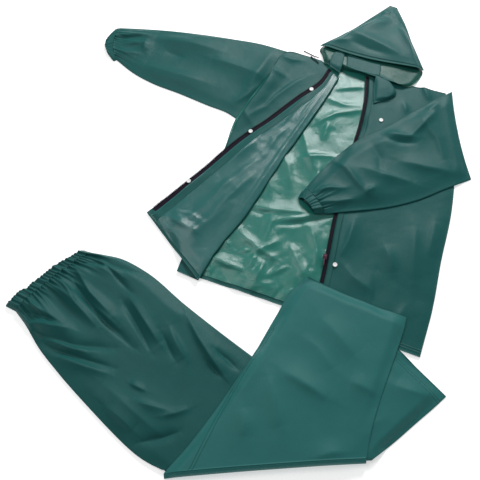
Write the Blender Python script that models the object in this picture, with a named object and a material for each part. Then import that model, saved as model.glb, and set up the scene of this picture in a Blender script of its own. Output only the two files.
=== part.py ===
"""A rain suit laid out flat: an opened hooded jacket, with folded trousers lying over its hem.

All sizes are in millimetres on the floor, with x to the right and y away from the viewer, and
become metres where a mesh is made. Each table row is one line across a panel. The finished
layout is moved so that its middle lies over the origin.
"""

import math
from typing import NamedTuple

import bmesh
import bpy
import numpy as np
from mathutils import Vector

MM = 0.001
WALL = 1.3
STRIP_WALL = 1.0
SEAM_GAP = 0.3
LAYER_GAP = 0.35

TUBE_SIDE = 3.6
TUBE_HEIGHT = 6.0
SIDE_BULGE = 1.7
TUBE_REACH = 50.0

CELL = 4.0
MAP_CORNER = (-600.0, 80.0)
MAP_CELLS = (330, 350)
REACH_FOR_SMOOTHING = 12.0
NO_LAYER = 0.05

ZIP_TAPE_WIDTH = 13.0
FACING_WIDTH = 36.0
PLACKET_WIDTH = 15.0
SHOWN_TAPE_WIDTH = 8.0
MOST_TAPE_SHARE = 0.28
MOST_FACING_SHARE = 0.55
TAPE_COLUMNS = 3
FRONT_ROWS = 20
FRONT_COLUMNS = 8
ROWS_WITHOUT_TAPE = 2
BACK_HEM_COLUMNS = 12
HEM_SHARE = 0.045
BACK_HEM_SHARE = 0.032
HOOD_HEM_SHARE = 0.08

SNAP_RADIUS = 5.4
SNAP_HEIGHT = 2.2
SNAP_BEVEL = 0.8
SNAP_SEAT = 3.4
ROUND_SEGMENTS = 16

GATHER_DEPTH = 2.6
CUFF_GATHERS = 9
WAIST_GATHERS = 18
BAND_HEIGHT = 5.0
SHIN_HEIGHT = 5.0
HIDDEN_HEIGHT = 6.0
HIDDEN_EDGE = 0.55
HIDDEN_LAYERS = 3
BACK_PUFF = 1.0
HOOD_PUFF = 3.0
EDGE_SHARE = 0.12
EDGE_RELIEF = 0.25
END_OF_CREASE = 0.45

MATT_GREEN = (0.020, 0.125, 0.120)
COATED_GREEN = (0.045, 0.270, 0.215)
TAPE_BLACK = (0.012, 0.010, 0.020)
SNAP_WHITE = (0.90, 0.91, 0.90)
SLIDER_GREY = (0.085, 0.050, 0.075)


class Section(NamedTuple):
    """A line across a panel, and how far its middle bows to the left of its direction."""

    left_x: float
    left_y: float
    right_x: float
    right_y: float
    bow: float = 0.0


class TurnedSection(NamedTuple):
    """A line across the opened front: side seam, fold, and the front edge laid back over them."""

    seam_x: float
    seam_y: float
    fold_x: float
    fold_y: float
    edge_x: float
    edge_y: float


class Crease(NamedTuple):
    """A ridge in the cloth, or a trough where its height is negative."""

    from_x: float
    from_y: float
    to_x: float
    to_y: float
    width: float
    height: float


class Grid(NamedTuple):
    """How many rows and columns of points form a piece."""

    rows: int
    columns: int


class Material(NamedTuple):
    """A finish: its linear colour, roughness and metallic value."""

    name: str
    colour: tuple
    roughness: float
    metallic: float


MATT_CLOTH = Material("matt_cloth", MATT_GREEN, 0.75, 0.0)
COATED_CLOTH = Material("coated_cloth", COATED_GREEN, 0.35, 0.0)
ZIP_TAPE = Material("zip_tape", TAPE_BLACK, 0.8, 0.0)
SNAP_PLASTIC = Material("snap_plastic", SNAP_WHITE, 0.35, 0.0)
SLIDER_METAL = Material("slider_metal", SLIDER_GREY, 0.4, 0.8)

BACK = (
    Section(-146, 591, 391, 388, 5),
    Section(-128, 640, 420, 470),
    Section(-84, 800, 500, 720),
    Section(-38, 932, 534, 880),
    Section(-9, 1021, 540, 990),
    Section(60, 1129, 541, 1060),
    Section(129, 1238, 541, 1097),
)
BACK_CREASES = (
    Crease(193, 1000, 318, 1042, 16, 5),
    Crease(230, 1085, 322, 1057, 14, 4),
    Crease(152, 897, 245, 902, 16, 5),
    Crease(30, 761, 173, 740, 14, 5),
    Crease(80, 728, 60, 674, 14, 4),
    Crease(88, 722, 228, 748, 18, 6),
    Crease(20, 640, 90, 660, 16, 6),
    Crease(60, 620, 30, 560, 14, 5),
    Crease(120, 650, 150, 560, 16, 5),
    Crease(170, 700, 180, 640, 14, 4),
)

OPENED_FRONT = (
    TurnedSection(222, 1208, 262, 1146, 240, 1180),
    TurnedSection(180, 1226, 240, 1106, 213, 1137),
    TurnedSection(134, 1237, 210, 1056, 156, 1090),
    TurnedSection(66, 1129, 164, 984, 74, 1017),
    TurnedSection(-3, 1020, 114, 906, -6, 953),
    TurnedSection(-36, 932, 56, 808, -75, 886),
    TurnedSection(-72, 820, 1, 719, -156, 808),
    TurnedSection(-108, 710, -50, 650, -203, 765),
    TurnedSection(-147, 589, -99, 567, -226, 743),
)
OPENED_FRONT_CREASES = (
    Crease(-75, 730, 37, 848, 14, 4),
    Crease(-136, 669, -27, 763, 20, 4),
    Crease(-148, 658, -103, 717, 14, 4),
    Crease(-182, 733, -98, 679, 16, 5),
    Crease(46, 948, -13, 894, 16, 4),
)
CHEST_CREASES = (
    Crease(183, 1157, 97, 1091, 18, 5),
    Crease(97, 1091, 16, 1018, 16, 5),
    Crease(74, 1182, 127, 1151, 16, 4),
)

LEFT_FRONT = (
    Section(166, 472, 395, 385),
    Section(196, 572, 438, 500),
    Section(212, 638, 470, 610),
    Section(235, 733, 512, 740),
    Section(266, 832, 535, 850),
    Section(298, 943, 542, 940),
    Section(320, 1012, 545, 1010),
    Section(336, 1079, 546, 1060),
    Section(345, 1150, 545, 1099),
)
LEFT_FRONT_CREASES = (
    Crease(329, 1016, 317, 962, 12, 3),
    Crease(275, 723, 230, 622, 16, 5),
    Crease(242, 604, 299, 540, 18, 5),
    Crease(321, 600, 304, 510, 12, 4),
    Crease(340, 658, 354, 582, 22, 5),
    Crease(420, 700, 400, 560, 34, 5),
    Crease(484, 1132, 498, 1070, 18, 5),
    Crease(430, 1070, 434, 1032, 16, 4),
    Crease(470, 720, 440, 620, 26, 4),
)

RIGHT_SLEEVE = (
    Section(-332, 1322, -336, 1213, -14),
    Section(-280, 1319, -292, 1172),
    Section(-200, 1312, -234, 1134),
    Section(-110, 1299, -160, 1100),
    Section(-20, 1282, -84, 1062),
    Section(60, 1264, -36, 1040),
    Section(128, 1239, -10, 1022, -6),
)
RIGHT_SLEEVE_CREASES = (
    Crease(-330, 1293, -241, 1287, 14, 4),
    Crease(-330, 1262, -266, 1270, 14, 4),
    Crease(-330, 1238, -277, 1229, 14, 4),
    Crease(-260, 1275, -256, 1232, 16, 5),
    Crease(-200, 1290, -60, 1240, 34, 5),
    Crease(-220, 1150, -60, 1130, 30, 4),
    Crease(-60, 1200, 90, 1120, 28, 5),
    Crease(60, 1250, 30, 1060, 20, 4),
)

RIGHT_CUFF = (
    Section(-358, 1296, -356, 1226, -14),
    Section(-346, 1318, -344, 1210, -14),
    Section(-332.4, 1322, -336.4, 1213, -14),
)
LEFT_CUFF = (
    Section(143, 781, 178, 737, 4),
    Section(150, 795, 190, 737, 4),
    Section(159.7, 805.8, 203.7, 737.8, 4),
)

LEFT_SLEEVE = (
    Section(160, 806, 204, 738, 4),
    Section(200, 852, 250, 742),
    Section(291, 938, 374, 760),
    Section(376, 985, 436, 778),
    Section(470, 1045, 500, 806),
    Section(530, 1082, 540, 823),
    Section(562, 1102, 574, 838, -8),
)
LEFT_SLEEVE_CREASES = (
    Crease(361, 951, 443, 935, 14, 5),
    Crease(503, 1027, 433, 953, 16, 5),
    Crease(238, 881, 306, 789, 16, 6),
    Crease(306, 789, 340, 812, 14, 5),
    Crease(400, 880, 520, 860, 30, 5),
    Crease(190, 800, 260, 800, 14, 4),
    Crease(300, 860, 420, 830, 26, 5),
)

HOOD_UNDER = (
    Section(228, 1196, 380, 1160, -8),
    Section(224, 1222, 430, 1118, -10),
    Section(222, 1252, 490, 1160, -10),
    Section(262, 1280, 484, 1210),
    Section(318, 1322, 474, 1265),
    Section(382, 1372, 462, 1335),
    Section(425, 1404, 447, 1396),
)
HOOD_TOP = (
    Section(219, 1250, 494, 1170, -14),
    Section(262, 1278, 486, 1206, -6),
    Section(318, 1320, 475, 1262),
    Section(384, 1372, 463, 1335),
    Section(427, 1406, 446, 1398),
)
HOOD_CREASES = (
    Crease(292, 1290, 436, 1205, 26, 5),
    Crease(330, 1300, 420, 1350, 22, 4),
    Crease(250, 1262, 300, 1262, 14, 4),
    Crease(440, 1320, 470, 1220, 18, 4),
)

RIGHT_COLLAR = (
    Section(240, 1182, 266, 1160),
    Section(245, 1204, 278, 1192),
    Section(254, 1222, 286, 1240),
)
LEFT_COLLAR = (
    Section(350, 1062, 386, 1074),
    Section(352, 1092, 409, 1086),
    Section(356, 1122, 413, 1098),
    Section(362, 1150, 398, 1124),
)
BACK_COLLAR = (
    Section(286, 1178, 372, 1146, -4),
    Section(288, 1198, 376, 1164, -4),
    Section(291, 1222, 378, 1184, -4),
)

HIDDEN_LEG = (
    Section(-496, 500, -356, 618),
    Section(-440, 424, -280, 600),
    Section(-310, 286, -122, 490),
    Section(-222, 206, 30, 372),
    Section(-184, 172, 180, 262),
    Section(-152, 148, 282, 178),
)
THIGH = (
    Section(-507, 492, -349, 636, 3),
    Section(-482, 462, -318, 630, 4),
    Section(-447, 411, -278, 620),
    Section(-401, 358, -219, 587),
    Section(-316, 272, -122, 503),
    Section(-228, 191, 34, 380),
    Section(-188, 164, 180, 272),
    Section(-158, 150, 280, 180),
)
THIGH_CREASES = (
    Crease(-480, 505, -388, 455, 20, 6),
    Crease(-488, 462, -373, 445, 18, 5),
    Crease(-440, 440, -320, 420, 18, 5),
    Crease(-420, 395, -290, 372, 18, 5),
    Crease(-410, 575, -299, 475, 22, 6),
    Crease(-330, 520, -233, 425, 20, 5),
    Crease(-370, 610, -249, 555, 20, 6),
    Crease(-300, 600, -217, 575, 16, 5),
    Crease(-250, 500, -180, 380, 26, 6),
    Crease(-178, 460, -130, 371, 24, 5),
    Crease(-121, 481, -33, 350, 22, 6),
    Crease(-75, 385, -10, 352, 16, 5),
    Crease(-225, 300, -153, 275, 20, 4),
    Crease(-260, 290, -110, 230, 34, 5),
)
WAISTBAND = (
    Section(-532, 505, -372, 644, 3),
    Section(-522, 500, -362, 640, 3),
    Section(-507.3, 492.3, -349.3, 636.3, 3),
)

LOWER_LEG = (
    Section(-60, 152, 268, 168),
    Section(60, 270, 320, 205),
    Section(160, 360, 372, 246),
    Section(236, 440, 417, 281),
    Section(281, 477, 441, 301),
)
LOWER_LEG_CREASES = (
    Crease(330, 320, 400, 300, 22, 4),
)

TOP_LEG = (
    Section(-154, 142, 256, 171, 2),
    Section(-112, 188, 270, 222),
    Section(-38, 286, 304, 310),
    Section(26, 382, 334, 378),
    Section(84, 482, 356, 428),
    Section(118, 536, 366, 454),
    Section(158, 572, 372, 476, -3),
)
TOP_LEG_CREASES = (
    Crease(90, 348, 187, 288, 22, 5),
    Crease(59, 341, 86, 228, 26, 4),
    Crease(2, 272, 6, 210, 22, 4),
    Crease(150, 170, 220, 182, 20, 4),
    Crease(180, 470, 250, 380, 34, 4),
    Crease(-20, 300, 60, 420, 30, 4),
    Crease(230, 330, 290, 300, 30, 4),
)
KNEE_FOLD_DEPTH = 9.0
KNEE_FOLD_STEPS = 6

SNAPS_ON_OPENED_FRONT = ((189, 1107), (27, 974), (-127, 829))
SNAPS_ON_LEFT_FRONT = ((365, 1010), (221, 603))

BACK_GRID = Grid(19, 17)
LEFT_FRONT_GRID = Grid(18, 11)
RIGHT_SLEEVE_GRID = Grid(17, 12)
LEFT_SLEEVE_GRID = Grid(17, 12)
CUFF_GRID = Grid(3, 28)
HOOD_UNDER_GRID = Grid(14, 12)
HOOD_TOP_GRID = Grid(12, 14)
BACK_COLLAR_GRID = Grid(4, 8)
RIGHT_COLLAR_GRID = Grid(5, 4)
LEFT_COLLAR_GRID = Grid(6, 6)
HIDDEN_LEG_GRID = Grid(16, 9)
THIGH_GRID = Grid(20, 15)
WAISTBAND_GRID = Grid(3, 55)
LOWER_LEG_GRID = Grid(10, 9)
TOP_LEG_GRID = Grid(17, 13)

DRAWCORD_RADIUS = 1.3
DRAWCORD_STEPS = 4
DRAWCORD_SEAT = 3.3
DRAWCORDS = {
    "drawcord_end": ((175, 1243), (181, 1239), (189, 1234), (201, 1226), (214, 1216)),
    "drawcord_second_end": ((193, 1222), (197, 1216), (205, 1208), (213, 1198)),
}

SLIDER_PLACE = (198.0, 622.0)
SLIDER_TURN = math.radians(-12.0)
SLIDER_WIDTH = 9.0
SLIDER_LENGTH = 12.0
SLIDER_HEIGHT = 3.0
SLIDER_SEAT = 8.0
LUG_WIDTH = 1.4
LUG_LENGTH = 4.0
LUG_HEIGHT = 3.4
LUG_ROOT = 0.4
HINGE_COVER = 0.3
HINGE_RADIUS = 0.8
EYE_INNER = 1.15
EYE_OUTER = 2.0
EYE_WIDTH = 2.4
EYE_CLEARANCE = 0.4
EYE_STEPS = 20
TAB_LENGTH = 22.0
TAB_THICKNESS = 1.6


def clear_scene():
    """Remove every object of the starting scene."""
    for thing in list(bpy.data.objects):
        bpy.data.objects.remove(thing, do_unlink=True)


def blender_material(finish):
    """Return the Blender material of a finish, making it once."""
    made = bpy.data.materials.get(finish.name)
    if made is None:
        made = bpy.data.materials.new(finish.name)
        made.use_nodes = True
        shader = made.node_tree.nodes["Principled BSDF"]
        shader.inputs["Base Color"].default_value = (*finish.colour, 1.0)
        shader.inputs["Roughness"].default_value = finish.roughness
        shader.inputs["Metallic"].default_value = finish.metallic
    return made


def finished(body, name, finish):
    """Turn a bmesh in millimetres into a named object in metres."""
    bmesh.ops.recalc_face_normals(body, faces=body.faces)
    bmesh.ops.triangulate(body, faces=body.faces)
    bmesh.ops.scale(body, verts=body.verts, vec=(MM, MM, MM))
    mesh = bpy.data.meshes.new(name)
    body.to_mesh(mesh)
    body.free()
    mesh.materials.append(blender_material(finish))
    made = bpy.data.objects.new(name, mesh)
    bpy.context.scene.collection.objects.link(made)
    return made


def through(table, stations):
    """Join the rows of a table by smooth curves, and sample them at shares of the way along."""
    rows = np.array(table, float)
    middles = (rows[:, 0:2] + rows[:, 2:4]) / 2
    steps = np.linalg.norm(np.diff(middles, axis=0), axis=1)
    at = np.concatenate([[0.0], np.cumsum(steps)])
    slopes = np.gradient(rows, at, axis=0)
    wanted = np.asarray(stations) * at[-1]
    before = np.clip(np.searchsorted(at, wanted, side="right") - 1, 0, len(at) - 2)
    length = (at[before + 1] - at[before])[:, None]
    share = (wanted - at[before])[:, None] / length
    start, end = rows[before], rows[before + 1]
    smooth = share * share * (3 - 2 * share)
    leave = share * (1 - share) ** 2 * length * slopes[before]
    arrive = share * share * (share - 1) * length * slopes[before + 1]
    return start + (end - start) * smooth + leave + arrive


def shares(count, *early):
    """Return shares from 0 to 1: the early ones given, then even steps."""
    last = early[-1] if early else 0.0
    even = np.linspace(last, 1.0, count - len(early))
    return np.concatenate([early[:-1] if early else [], even]) if early else even


def lines_between(starts, ends, bows, across):
    """Return a grid of points along straight or bowed lines from starts to ends."""
    along = ends - starts
    length = np.linalg.norm(along, axis=1, keepdims=True)
    sideways = np.stack([-along[:, 1], along[:, 0]], axis=1) / length
    v = np.asarray(across)
    v = v if v.ndim == 2 else np.broadcast_to(v, (len(starts), len(v)))
    curve = (4 * v * (1 - v))[:, :, None] * bows[:, None, None] * sideways[:, None, :]
    return starts[:, None, :] + along[:, None, :] * v[:, :, None] + curve


def panel_points(table, grid, *early):
    """Return the grid of floor points of a panel whose rows are sections."""
    rows = through(table, shares(grid.rows, *early))
    across = np.linspace(0, 1, grid.columns)
    return lines_between(rows[:, 0:2], rows[:, 2:4], rows[:, 4], across)


def relief(points, creases):
    """Return the height that ridges and troughs add at each point."""
    total = np.zeros(points.shape[:-1])
    for crease in creases:
        start = np.array([crease.from_x, crease.from_y])
        run = np.array([crease.to_x, crease.to_y]) - start
        share = np.clip((points - start) @ run / (run @ run), 0.0, 1.0)
        nearest = start + share[..., None] * run
        distance = np.linalg.norm(points - nearest, axis=-1)
        fade = END_OF_CREASE + (1 - END_OF_CREASE) * np.sin(math.pi * share)
        total += crease.height * fade * np.exp(-((distance / crease.width) ** 2))
    return total


class Stack:
    """A map of how high the laid pieces reach, which the next piece is laid over."""

    def __init__(self):
        """Start with an empty floor."""
        self.corner = np.array(MAP_CORNER)
        self.heights = np.zeros(MAP_CELLS)

    def lay(self, top):
        """Raise the map to a grid of top points."""
        a, b, c, d = top[:-1, :-1], top[1:, :-1], top[1:, 1:], top[:-1, 1:]
        for three in ((a, b, c), (a, c, d), (a, b, d), (b, c, d)):
            for triangle in np.stack(three, axis=-2).reshape(-1, 3, 3):
                self.lay_triangle(triangle)

    def lay_triangle(self, triangle):
        """Raise the map wherever a cell's middle is under one triangle, or a corner is in it."""
        flat = (triangle[:, :2] - self.corner) / CELL
        low = np.floor(flat.min(axis=0)).astype(int)
        high = np.ceil(flat.max(axis=0)).astype(int) + 1
        gx, gy = np.meshgrid(np.arange(low[0], high[0]), np.arange(low[1], high[1]), indexing="ij")
        (x1, y1), (x2, y2), (x3, y3) = flat
        area = (x2 - x1) * (y3 - y1) - (x3 - x1) * (y2 - y1)
        if abs(area) > 1e-9:
            px, py = gx + 0.5, gy + 0.5
            w2 = ((px - x1) * (y3 - y1) - (x3 - x1) * (py - y1)) / area
            w3 = ((x2 - x1) * (py - y1) - (px - x1) * (y2 - y1)) / area
            inside = (w2 >= 0) & (w3 >= 0) & (w2 + w3 <= 1)
            z = triangle[0, 2] * (1 - w2 - w3) + triangle[1, 2] * w2 + triangle[2, 2] * w3
            block = self.heights[low[0]:high[0], low[1]:high[1]]
            block[inside] = np.maximum(block, z)[inside]
        for corner, cell in zip(triangle, np.floor(flat).astype(int)):
            self.heights[tuple(cell)] = max(self.heights[tuple(cell)], corner[2])

    def spread(self, reach):
        """Return the map with each cell at the highest within reach on either axis."""
        grown = self.heights
        for axis in (0, 1):
            steps = int(math.ceil(reach / CELL))
            moved = [np.roll(grown, shift, axis) for shift in range(-steps, steps + 1)]
            grown = np.max(moved, axis=0)
        return grown

    def rest(self, points, reach):
        """Return heights at which a piece clears all that is laid, easing down past its edges."""
        ease = int(round(REACH_FOR_SMOOTHING / CELL))
        grown = self.spread(reach + REACH_FOR_SMOOTHING + CELL)
        for axis in (0, 1):
            grown = np.mean([np.roll(grown, s, axis) for s in range(-ease, ease + 1)], axis=0)
        cells = (points - self.corner) / CELL - 0.5
        low = np.floor(cells).astype(int)
        fx, fy = np.moveaxis(cells - low, -1, 0)
        i, j = np.moveaxis(low, -1, 0)
        near = grown[i, j] * (1 - fx) * (1 - fy) + grown[i + 1, j] * fx * (1 - fy)
        far = grown[i, j + 1] * (1 - fx) * fy + grown[i + 1, j + 1] * fx * fy
        height = near + far
        return np.where(height > NO_LAYER, height + LAYER_GAP, 0.0)

    def highest(self, x, y, radius):
        """Return the highest point laid within a radius of a place."""
        cells = np.array([x, y]) - self.corner
        low = np.floor((cells - radius) / CELL).astype(int)
        high = np.ceil((cells + radius) / CELL).astype(int) + 1
        return self.heights[low[0]:high[0], low[1]:high[1]].max()


def longest_step(points):
    """Return the longest diagonal of a grid's cells."""
    across = np.linalg.norm(points[1:, 1:] - points[:-1, :-1], axis=-1).max()
    back = np.linalg.norm(points[1:, :-1] - points[:-1, 1:], axis=-1).max()
    return max(across, back)


def raised(points, heights):
    """Return floor points with their heights."""
    return np.concatenate([points, heights[..., None]], axis=-1)


def wall_between(outer, inner, name, finish, ring=False):
    """Make one closed wall between two grids of points, whose rows are rings where ring is set."""
    rows, columns = outer.shape[:2]
    body = bmesh.new()
    skins = [[[body.verts.new(p) for p in row] for row in grid] for grid in (outer, inner)]
    last = columns if ring else columns - 1
    for skin in skins:
        for i in range(rows - 1):
            for j in range(last):
                k = (j + 1) % columns
                body.faces.new((skin[i][j], skin[i + 1][j], skin[i + 1][k], skin[i][k]))
    first, second = skins
    for i in (0, rows - 1):
        for j in range(last):
            k = (j + 1) % columns
            body.faces.new((first[i][j], first[i][k], second[i][k], second[i][j]))
    if not ring:
        for j in (0, columns - 1):
            for i in range(rows - 1):
                body.faces.new((first[i][j], first[i + 1][j], second[i + 1][j], second[i][j]))
    return finished(body, name, finish)


def edge_share(across):
    """Return 0 at both ends of a run of shares, and 1 away from them."""
    return np.clip(np.minimum(across, 1 - across) / EDGE_SHARE, 0.0, 1.0)


def sheet(stack, name, finish, points, creases=(), puff=0.0):
    """Lay one panel over the stack. Return the grid of its top."""
    rest = stack.rest(points, longest_step(points))
    rows = edge_share(np.linspace(0, 1, points.shape[0]))
    columns = edge_share(np.linspace(0, 1, points.shape[1]))
    inner = rows[:, None] * columns[None, :]
    reach = EDGE_RELIEF + (1 - EDGE_RELIEF) * inner
    lift = np.clip(relief(points, creases), 0.0, None) * reach + puff * inner
    under = raised(points, rest + lift)
    top = raised(points, rest + lift + WALL)
    wall_between(under, top, name, finish)
    stack.lay(top)
    return top


def tube(stack, name, finish, points, creases=(), gathers=0, height=TUBE_HEIGHT, reach=TUBE_REACH):
    """Form a flattened sleeve or leg over the stack, open at both ends. Return its top grid."""
    across = np.linspace(0, 1, points.shape[1])
    rest = stack.rest(points, max(reach, longest_step(points) + SIDE_BULGE))
    sides = edge_share(across)[None, :]
    depth = TUBE_SIDE + (height - TUBE_SIDE) * np.sqrt(sides)
    depth = depth + np.clip(relief(points, creases), 0.0, None) * sides
    wave = 0.5 - 0.5 * np.cos(2 * math.pi * gathers * across)
    depth = depth + GATHER_DEPTH * wave[None, :]
    outer = ring_of(points, rest, rest + depth, 0.0)
    inner = ring_of(points, rest + WALL, rest + depth - WALL, WALL)
    wall_between(outer, inner, name, finish, ring=True)
    return raised(points, rest + depth)


def ring_of(points, low, high, inset):
    """Return rings that run along the underside, round one side, back over the top and round."""
    run = points[:, -1] - points[:, 0]
    run = run / np.linalg.norm(run, axis=1, keepdims=True)
    moved = points.copy()
    moved[:, 0] += run * inset
    moved[:, -1] -= run * inset
    bulge = SIDE_BULGE - inset
    left = points[:, 0] - run * bulge
    right = points[:, -1] + run * bulge
    left_height = (low[:, 0] + high[:, 0]) / 2
    right_height = (low[:, -1] + high[:, -1]) / 2
    return np.concatenate(
        [
            raised(moved, low),
            raised(right, right_height)[:, None],
            raised(moved, high)[:, ::-1],
            raised(left, left_height)[:, None],
        ],
        axis=1,
    )


def solid_layers(stack, name, finish, points, height):
    """Lay a rounded solid that stands for hidden layers, with grooves round its edge."""
    across = np.linspace(0, 1, points.shape[1])
    sides = np.sqrt(edge_share(across))[None, :]
    top_height = np.broadcast_to(height * (HIDDEN_EDGE + (1 - HIDDEN_EDGE) * sides), points.shape[:2])
    rings = []
    run = points[:, -1] - points[:, 0]
    run = run / np.linalg.norm(run, axis=1, keepdims=True)
    for level in range(2 * HIDDEN_LAYERS + 1):
        out = SIDE_BULGE * (level % 2)
        share = level / (2 * HIDDEN_LAYERS)
        left = points[:, 0] - run * out
        right = points[:, -1] + run * out
        rings.append((raised(left, top_height[:, 0] * share), raised(right, top_height[:, -1] * share)))
    floor = raised(points, np.zeros(points.shape[:2]))
    top = raised(points, top_height)
    right_side = [right[:, None] for _, right in rings[1:-1]]
    left_side = [left[:, None] for left, _ in reversed(rings[1:-1])]
    around = np.concatenate([floor, *right_side, top[:, ::-1], *left_side], axis=1)
    body = bmesh.new()
    grid = [[body.verts.new(p) for p in row] for row in around]
    count = around.shape[1]
    for i in range(len(grid) - 1):
        for j in range(count):
            k = (j + 1) % count
            body.faces.new((grid[i][j], grid[i + 1][j], grid[i + 1][k], grid[i][k]))
    body.faces.new(grid[0])
    body.faces.new(grid[-1][::-1])
    made = finished(body, name, finish)
    stack.lay(top)
    return made


def pulled_in(part):
    """Return a grid whose outer rows and columns stand half a seam gap further in."""
    moved = part.copy()
    for grid in (moved, moved.swapaxes(0, 1)):
        for edge, beside in ((0, 1), (-1, -2)):
            step = grid[beside] - grid[edge]
            grid[edge] += step / np.linalg.norm(step, axis=-1, keepdims=True) * SEAM_GAP / 2
    return moved


def strip(name, finish, part):
    """Make a strip that lies on part of a panel, from the panel's own points moved out."""
    under = pulled_in(part) + np.array([0.0, 0.0, SEAM_GAP])
    over = under + np.array([0.0, 0.0, STRIP_WALL])
    wall_between(under, over, name, finish)


def opened_front(stack):
    """Lay the front that is turned back: matt underneath, its coated side and edge on top."""
    stations = np.append(np.linspace(0, 1 - HEM_SHARE, FRONT_ROWS - 1), 1.0)
    rows = through(OPENED_FRONT, stations)
    seam, fold, edge = rows[:, 0:2], rows[:, 2:4], rows[:, 4:6]
    flat = np.zeros(len(rows))
    lower = lines_between(seam, fold, flat, np.linspace(0, 1, FRONT_COLUMNS))
    width = np.linalg.norm(edge - fold, axis=1, keepdims=True)
    tape = np.minimum(ZIP_TAPE_WIDTH / width, MOST_TAPE_SHARE)
    facing = np.minimum(FACING_WIDTH / width, MOST_FACING_SHARE)
    even = np.linspace(0, 1, FRONT_COLUMNS)[None, :-1] * (1 - facing)
    across = np.concatenate([even, 1 - facing, 1 - tape, np.ones_like(tape)], axis=1)
    upper = lines_between(fold, edge, flat, across)

    low_rest = stack.rest(lower, longest_step(lower))
    sides = edge_share(np.linspace(0, 1, FRONT_COLUMNS))
    chest = np.clip(relief(lower, CHEST_CREASES), 0, None) * sides
    low_under = raised(lower, low_rest + chest)
    low_top = raised(lower, low_rest + chest + WALL)
    stack.lay(low_top)
    high_rest = stack.rest(upper, longest_step(upper))
    high_lift = np.clip(relief(upper, OPENED_FRONT_CREASES), 0, None)
    high_under = raised(upper, high_rest + high_lift)
    high_top = raised(upper, high_rest + high_lift + WALL)
    stack.lay(high_top)

    outward = fold - seam
    outward = outward / np.linalg.norm(outward, axis=1, keepdims=True)
    bend = (high_top[:, 0, 2] + low_under[:, -1, 2]) / 2
    half = (high_top[:, 0, 2] - low_under[:, -1, 2]) / 2
    outer_bend = raised(fold + outward * half[:, None], bend)[:, None]
    inner_bend = raised(fold + outward * (half[:, None] - WALL), bend)[:, None]
    outer = np.concatenate([low_under, outer_bend, high_top], axis=1)
    inner = np.concatenate([low_top, inner_bend, high_under], axis=1)
    wall_between(outer, inner, "right_front", COATED_CLOTH)
    return high_top


def trim_opened_front(top):
    """Add the zip tape, the facing and the hem facing that show on the turned-back front."""
    hem_row = FRONT_ROWS - 2
    tape_end = hem_row - ROWS_WITHOUT_TAPE
    strip("right_zip_tape", ZIP_TAPE, top[:tape_end + 1, -2:])
    strip("right_front_edge_facing", MATT_CLOTH, top[tape_end:hem_row + 1, -2:])
    strip("right_front_facing", MATT_CLOTH, top[:hem_row + 1, -3:-1])
    strip("right_front_hem", MATT_CLOTH, top[hem_row:])


def back_panel(stack):
    """Lay the jacket's back, coated side up, with its matt hem facing."""
    points = panel_points(BACK, BACK_GRID, 0.0, BACK_HEM_SHARE)
    top = sheet(stack, "back_panel", COATED_CLOTH, points, BACK_CREASES, puff=BACK_PUFF)
    strip("back_hem", MATT_CLOTH, top[0:2, :BACK_HEM_COLUMNS])
    stack.lay(top[0:2] + np.array([0.0, 0.0, SEAM_GAP + STRIP_WALL]))


def left_front(stack):
    """Lay the front that stays closed over the back, with its zip tape and placket."""
    rows = through(LEFT_FRONT, shares(LEFT_FRONT_GRID.rows))
    width = np.linalg.norm(rows[:, 2:4] - rows[:, 0:2], axis=1, keepdims=True)
    placket = PLACKET_WIDTH / width
    even = placket + (1 - placket) * np.linspace(0, 1, LEFT_FRONT_GRID.columns)[None, :]
    across = np.concatenate([np.zeros_like(placket), even], axis=1)
    points = lines_between(rows[:, 0:2], rows[:, 2:4], rows[:, 4], across)
    top = sheet(stack, "left_front", MATT_CLOTH, points, LEFT_FRONT_CREASES)
    strip("left_placket", MATT_CLOTH, top[:, 0:2])
    stack.lay(top[:, 0:2] + np.array([0.0, 0.0, SEAM_GAP + STRIP_WALL]))
    beside = rows[:, 0:2] - (rows[:, 2:4] - rows[:, 0:2]) / width * SEAM_GAP
    outside = rows[:, 0:2] - (rows[:, 2:4] - rows[:, 0:2]) / width * SHOWN_TAPE_WIDTH
    tape = lines_between(outside, beside, np.zeros(len(rows)), np.linspace(0, 1, TAPE_COLUMNS))
    sheet(stack, "left_zip_tape", ZIP_TAPE, tape)


def right_sleeve(stack):
    """Lay the stretched-out sleeve and its gathered cuff beside the body."""
    points = panel_points(RIGHT_CUFF, CUFF_GRID)
    cuff = tube(stack, "right_cuff", MATT_CLOTH, points, gathers=CUFF_GATHERS, height=BAND_HEIGHT)
    points = panel_points(RIGHT_SLEEVE, RIGHT_SLEEVE_GRID)
    sleeve = tube(stack, "right_sleeve", MATT_CLOTH, points, RIGHT_SLEEVE_CREASES)
    return cuff, sleeve


def left_sleeve(stack):
    """Lay the folded sleeve and its gathered cuff over the left front."""
    points = panel_points(LEFT_SLEEVE, LEFT_SLEEVE_GRID)
    sleeve = tube(stack, "left_sleeve", MATT_CLOTH, points, LEFT_SLEEVE_CREASES)
    points = panel_points(LEFT_CUFF, CUFF_GRID)
    cuff = tube(stack, "left_cuff", MATT_CLOTH, points, gathers=CUFF_GATHERS, height=BAND_HEIGHT)
    stack.lay(sleeve)
    stack.lay(cuff)


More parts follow.
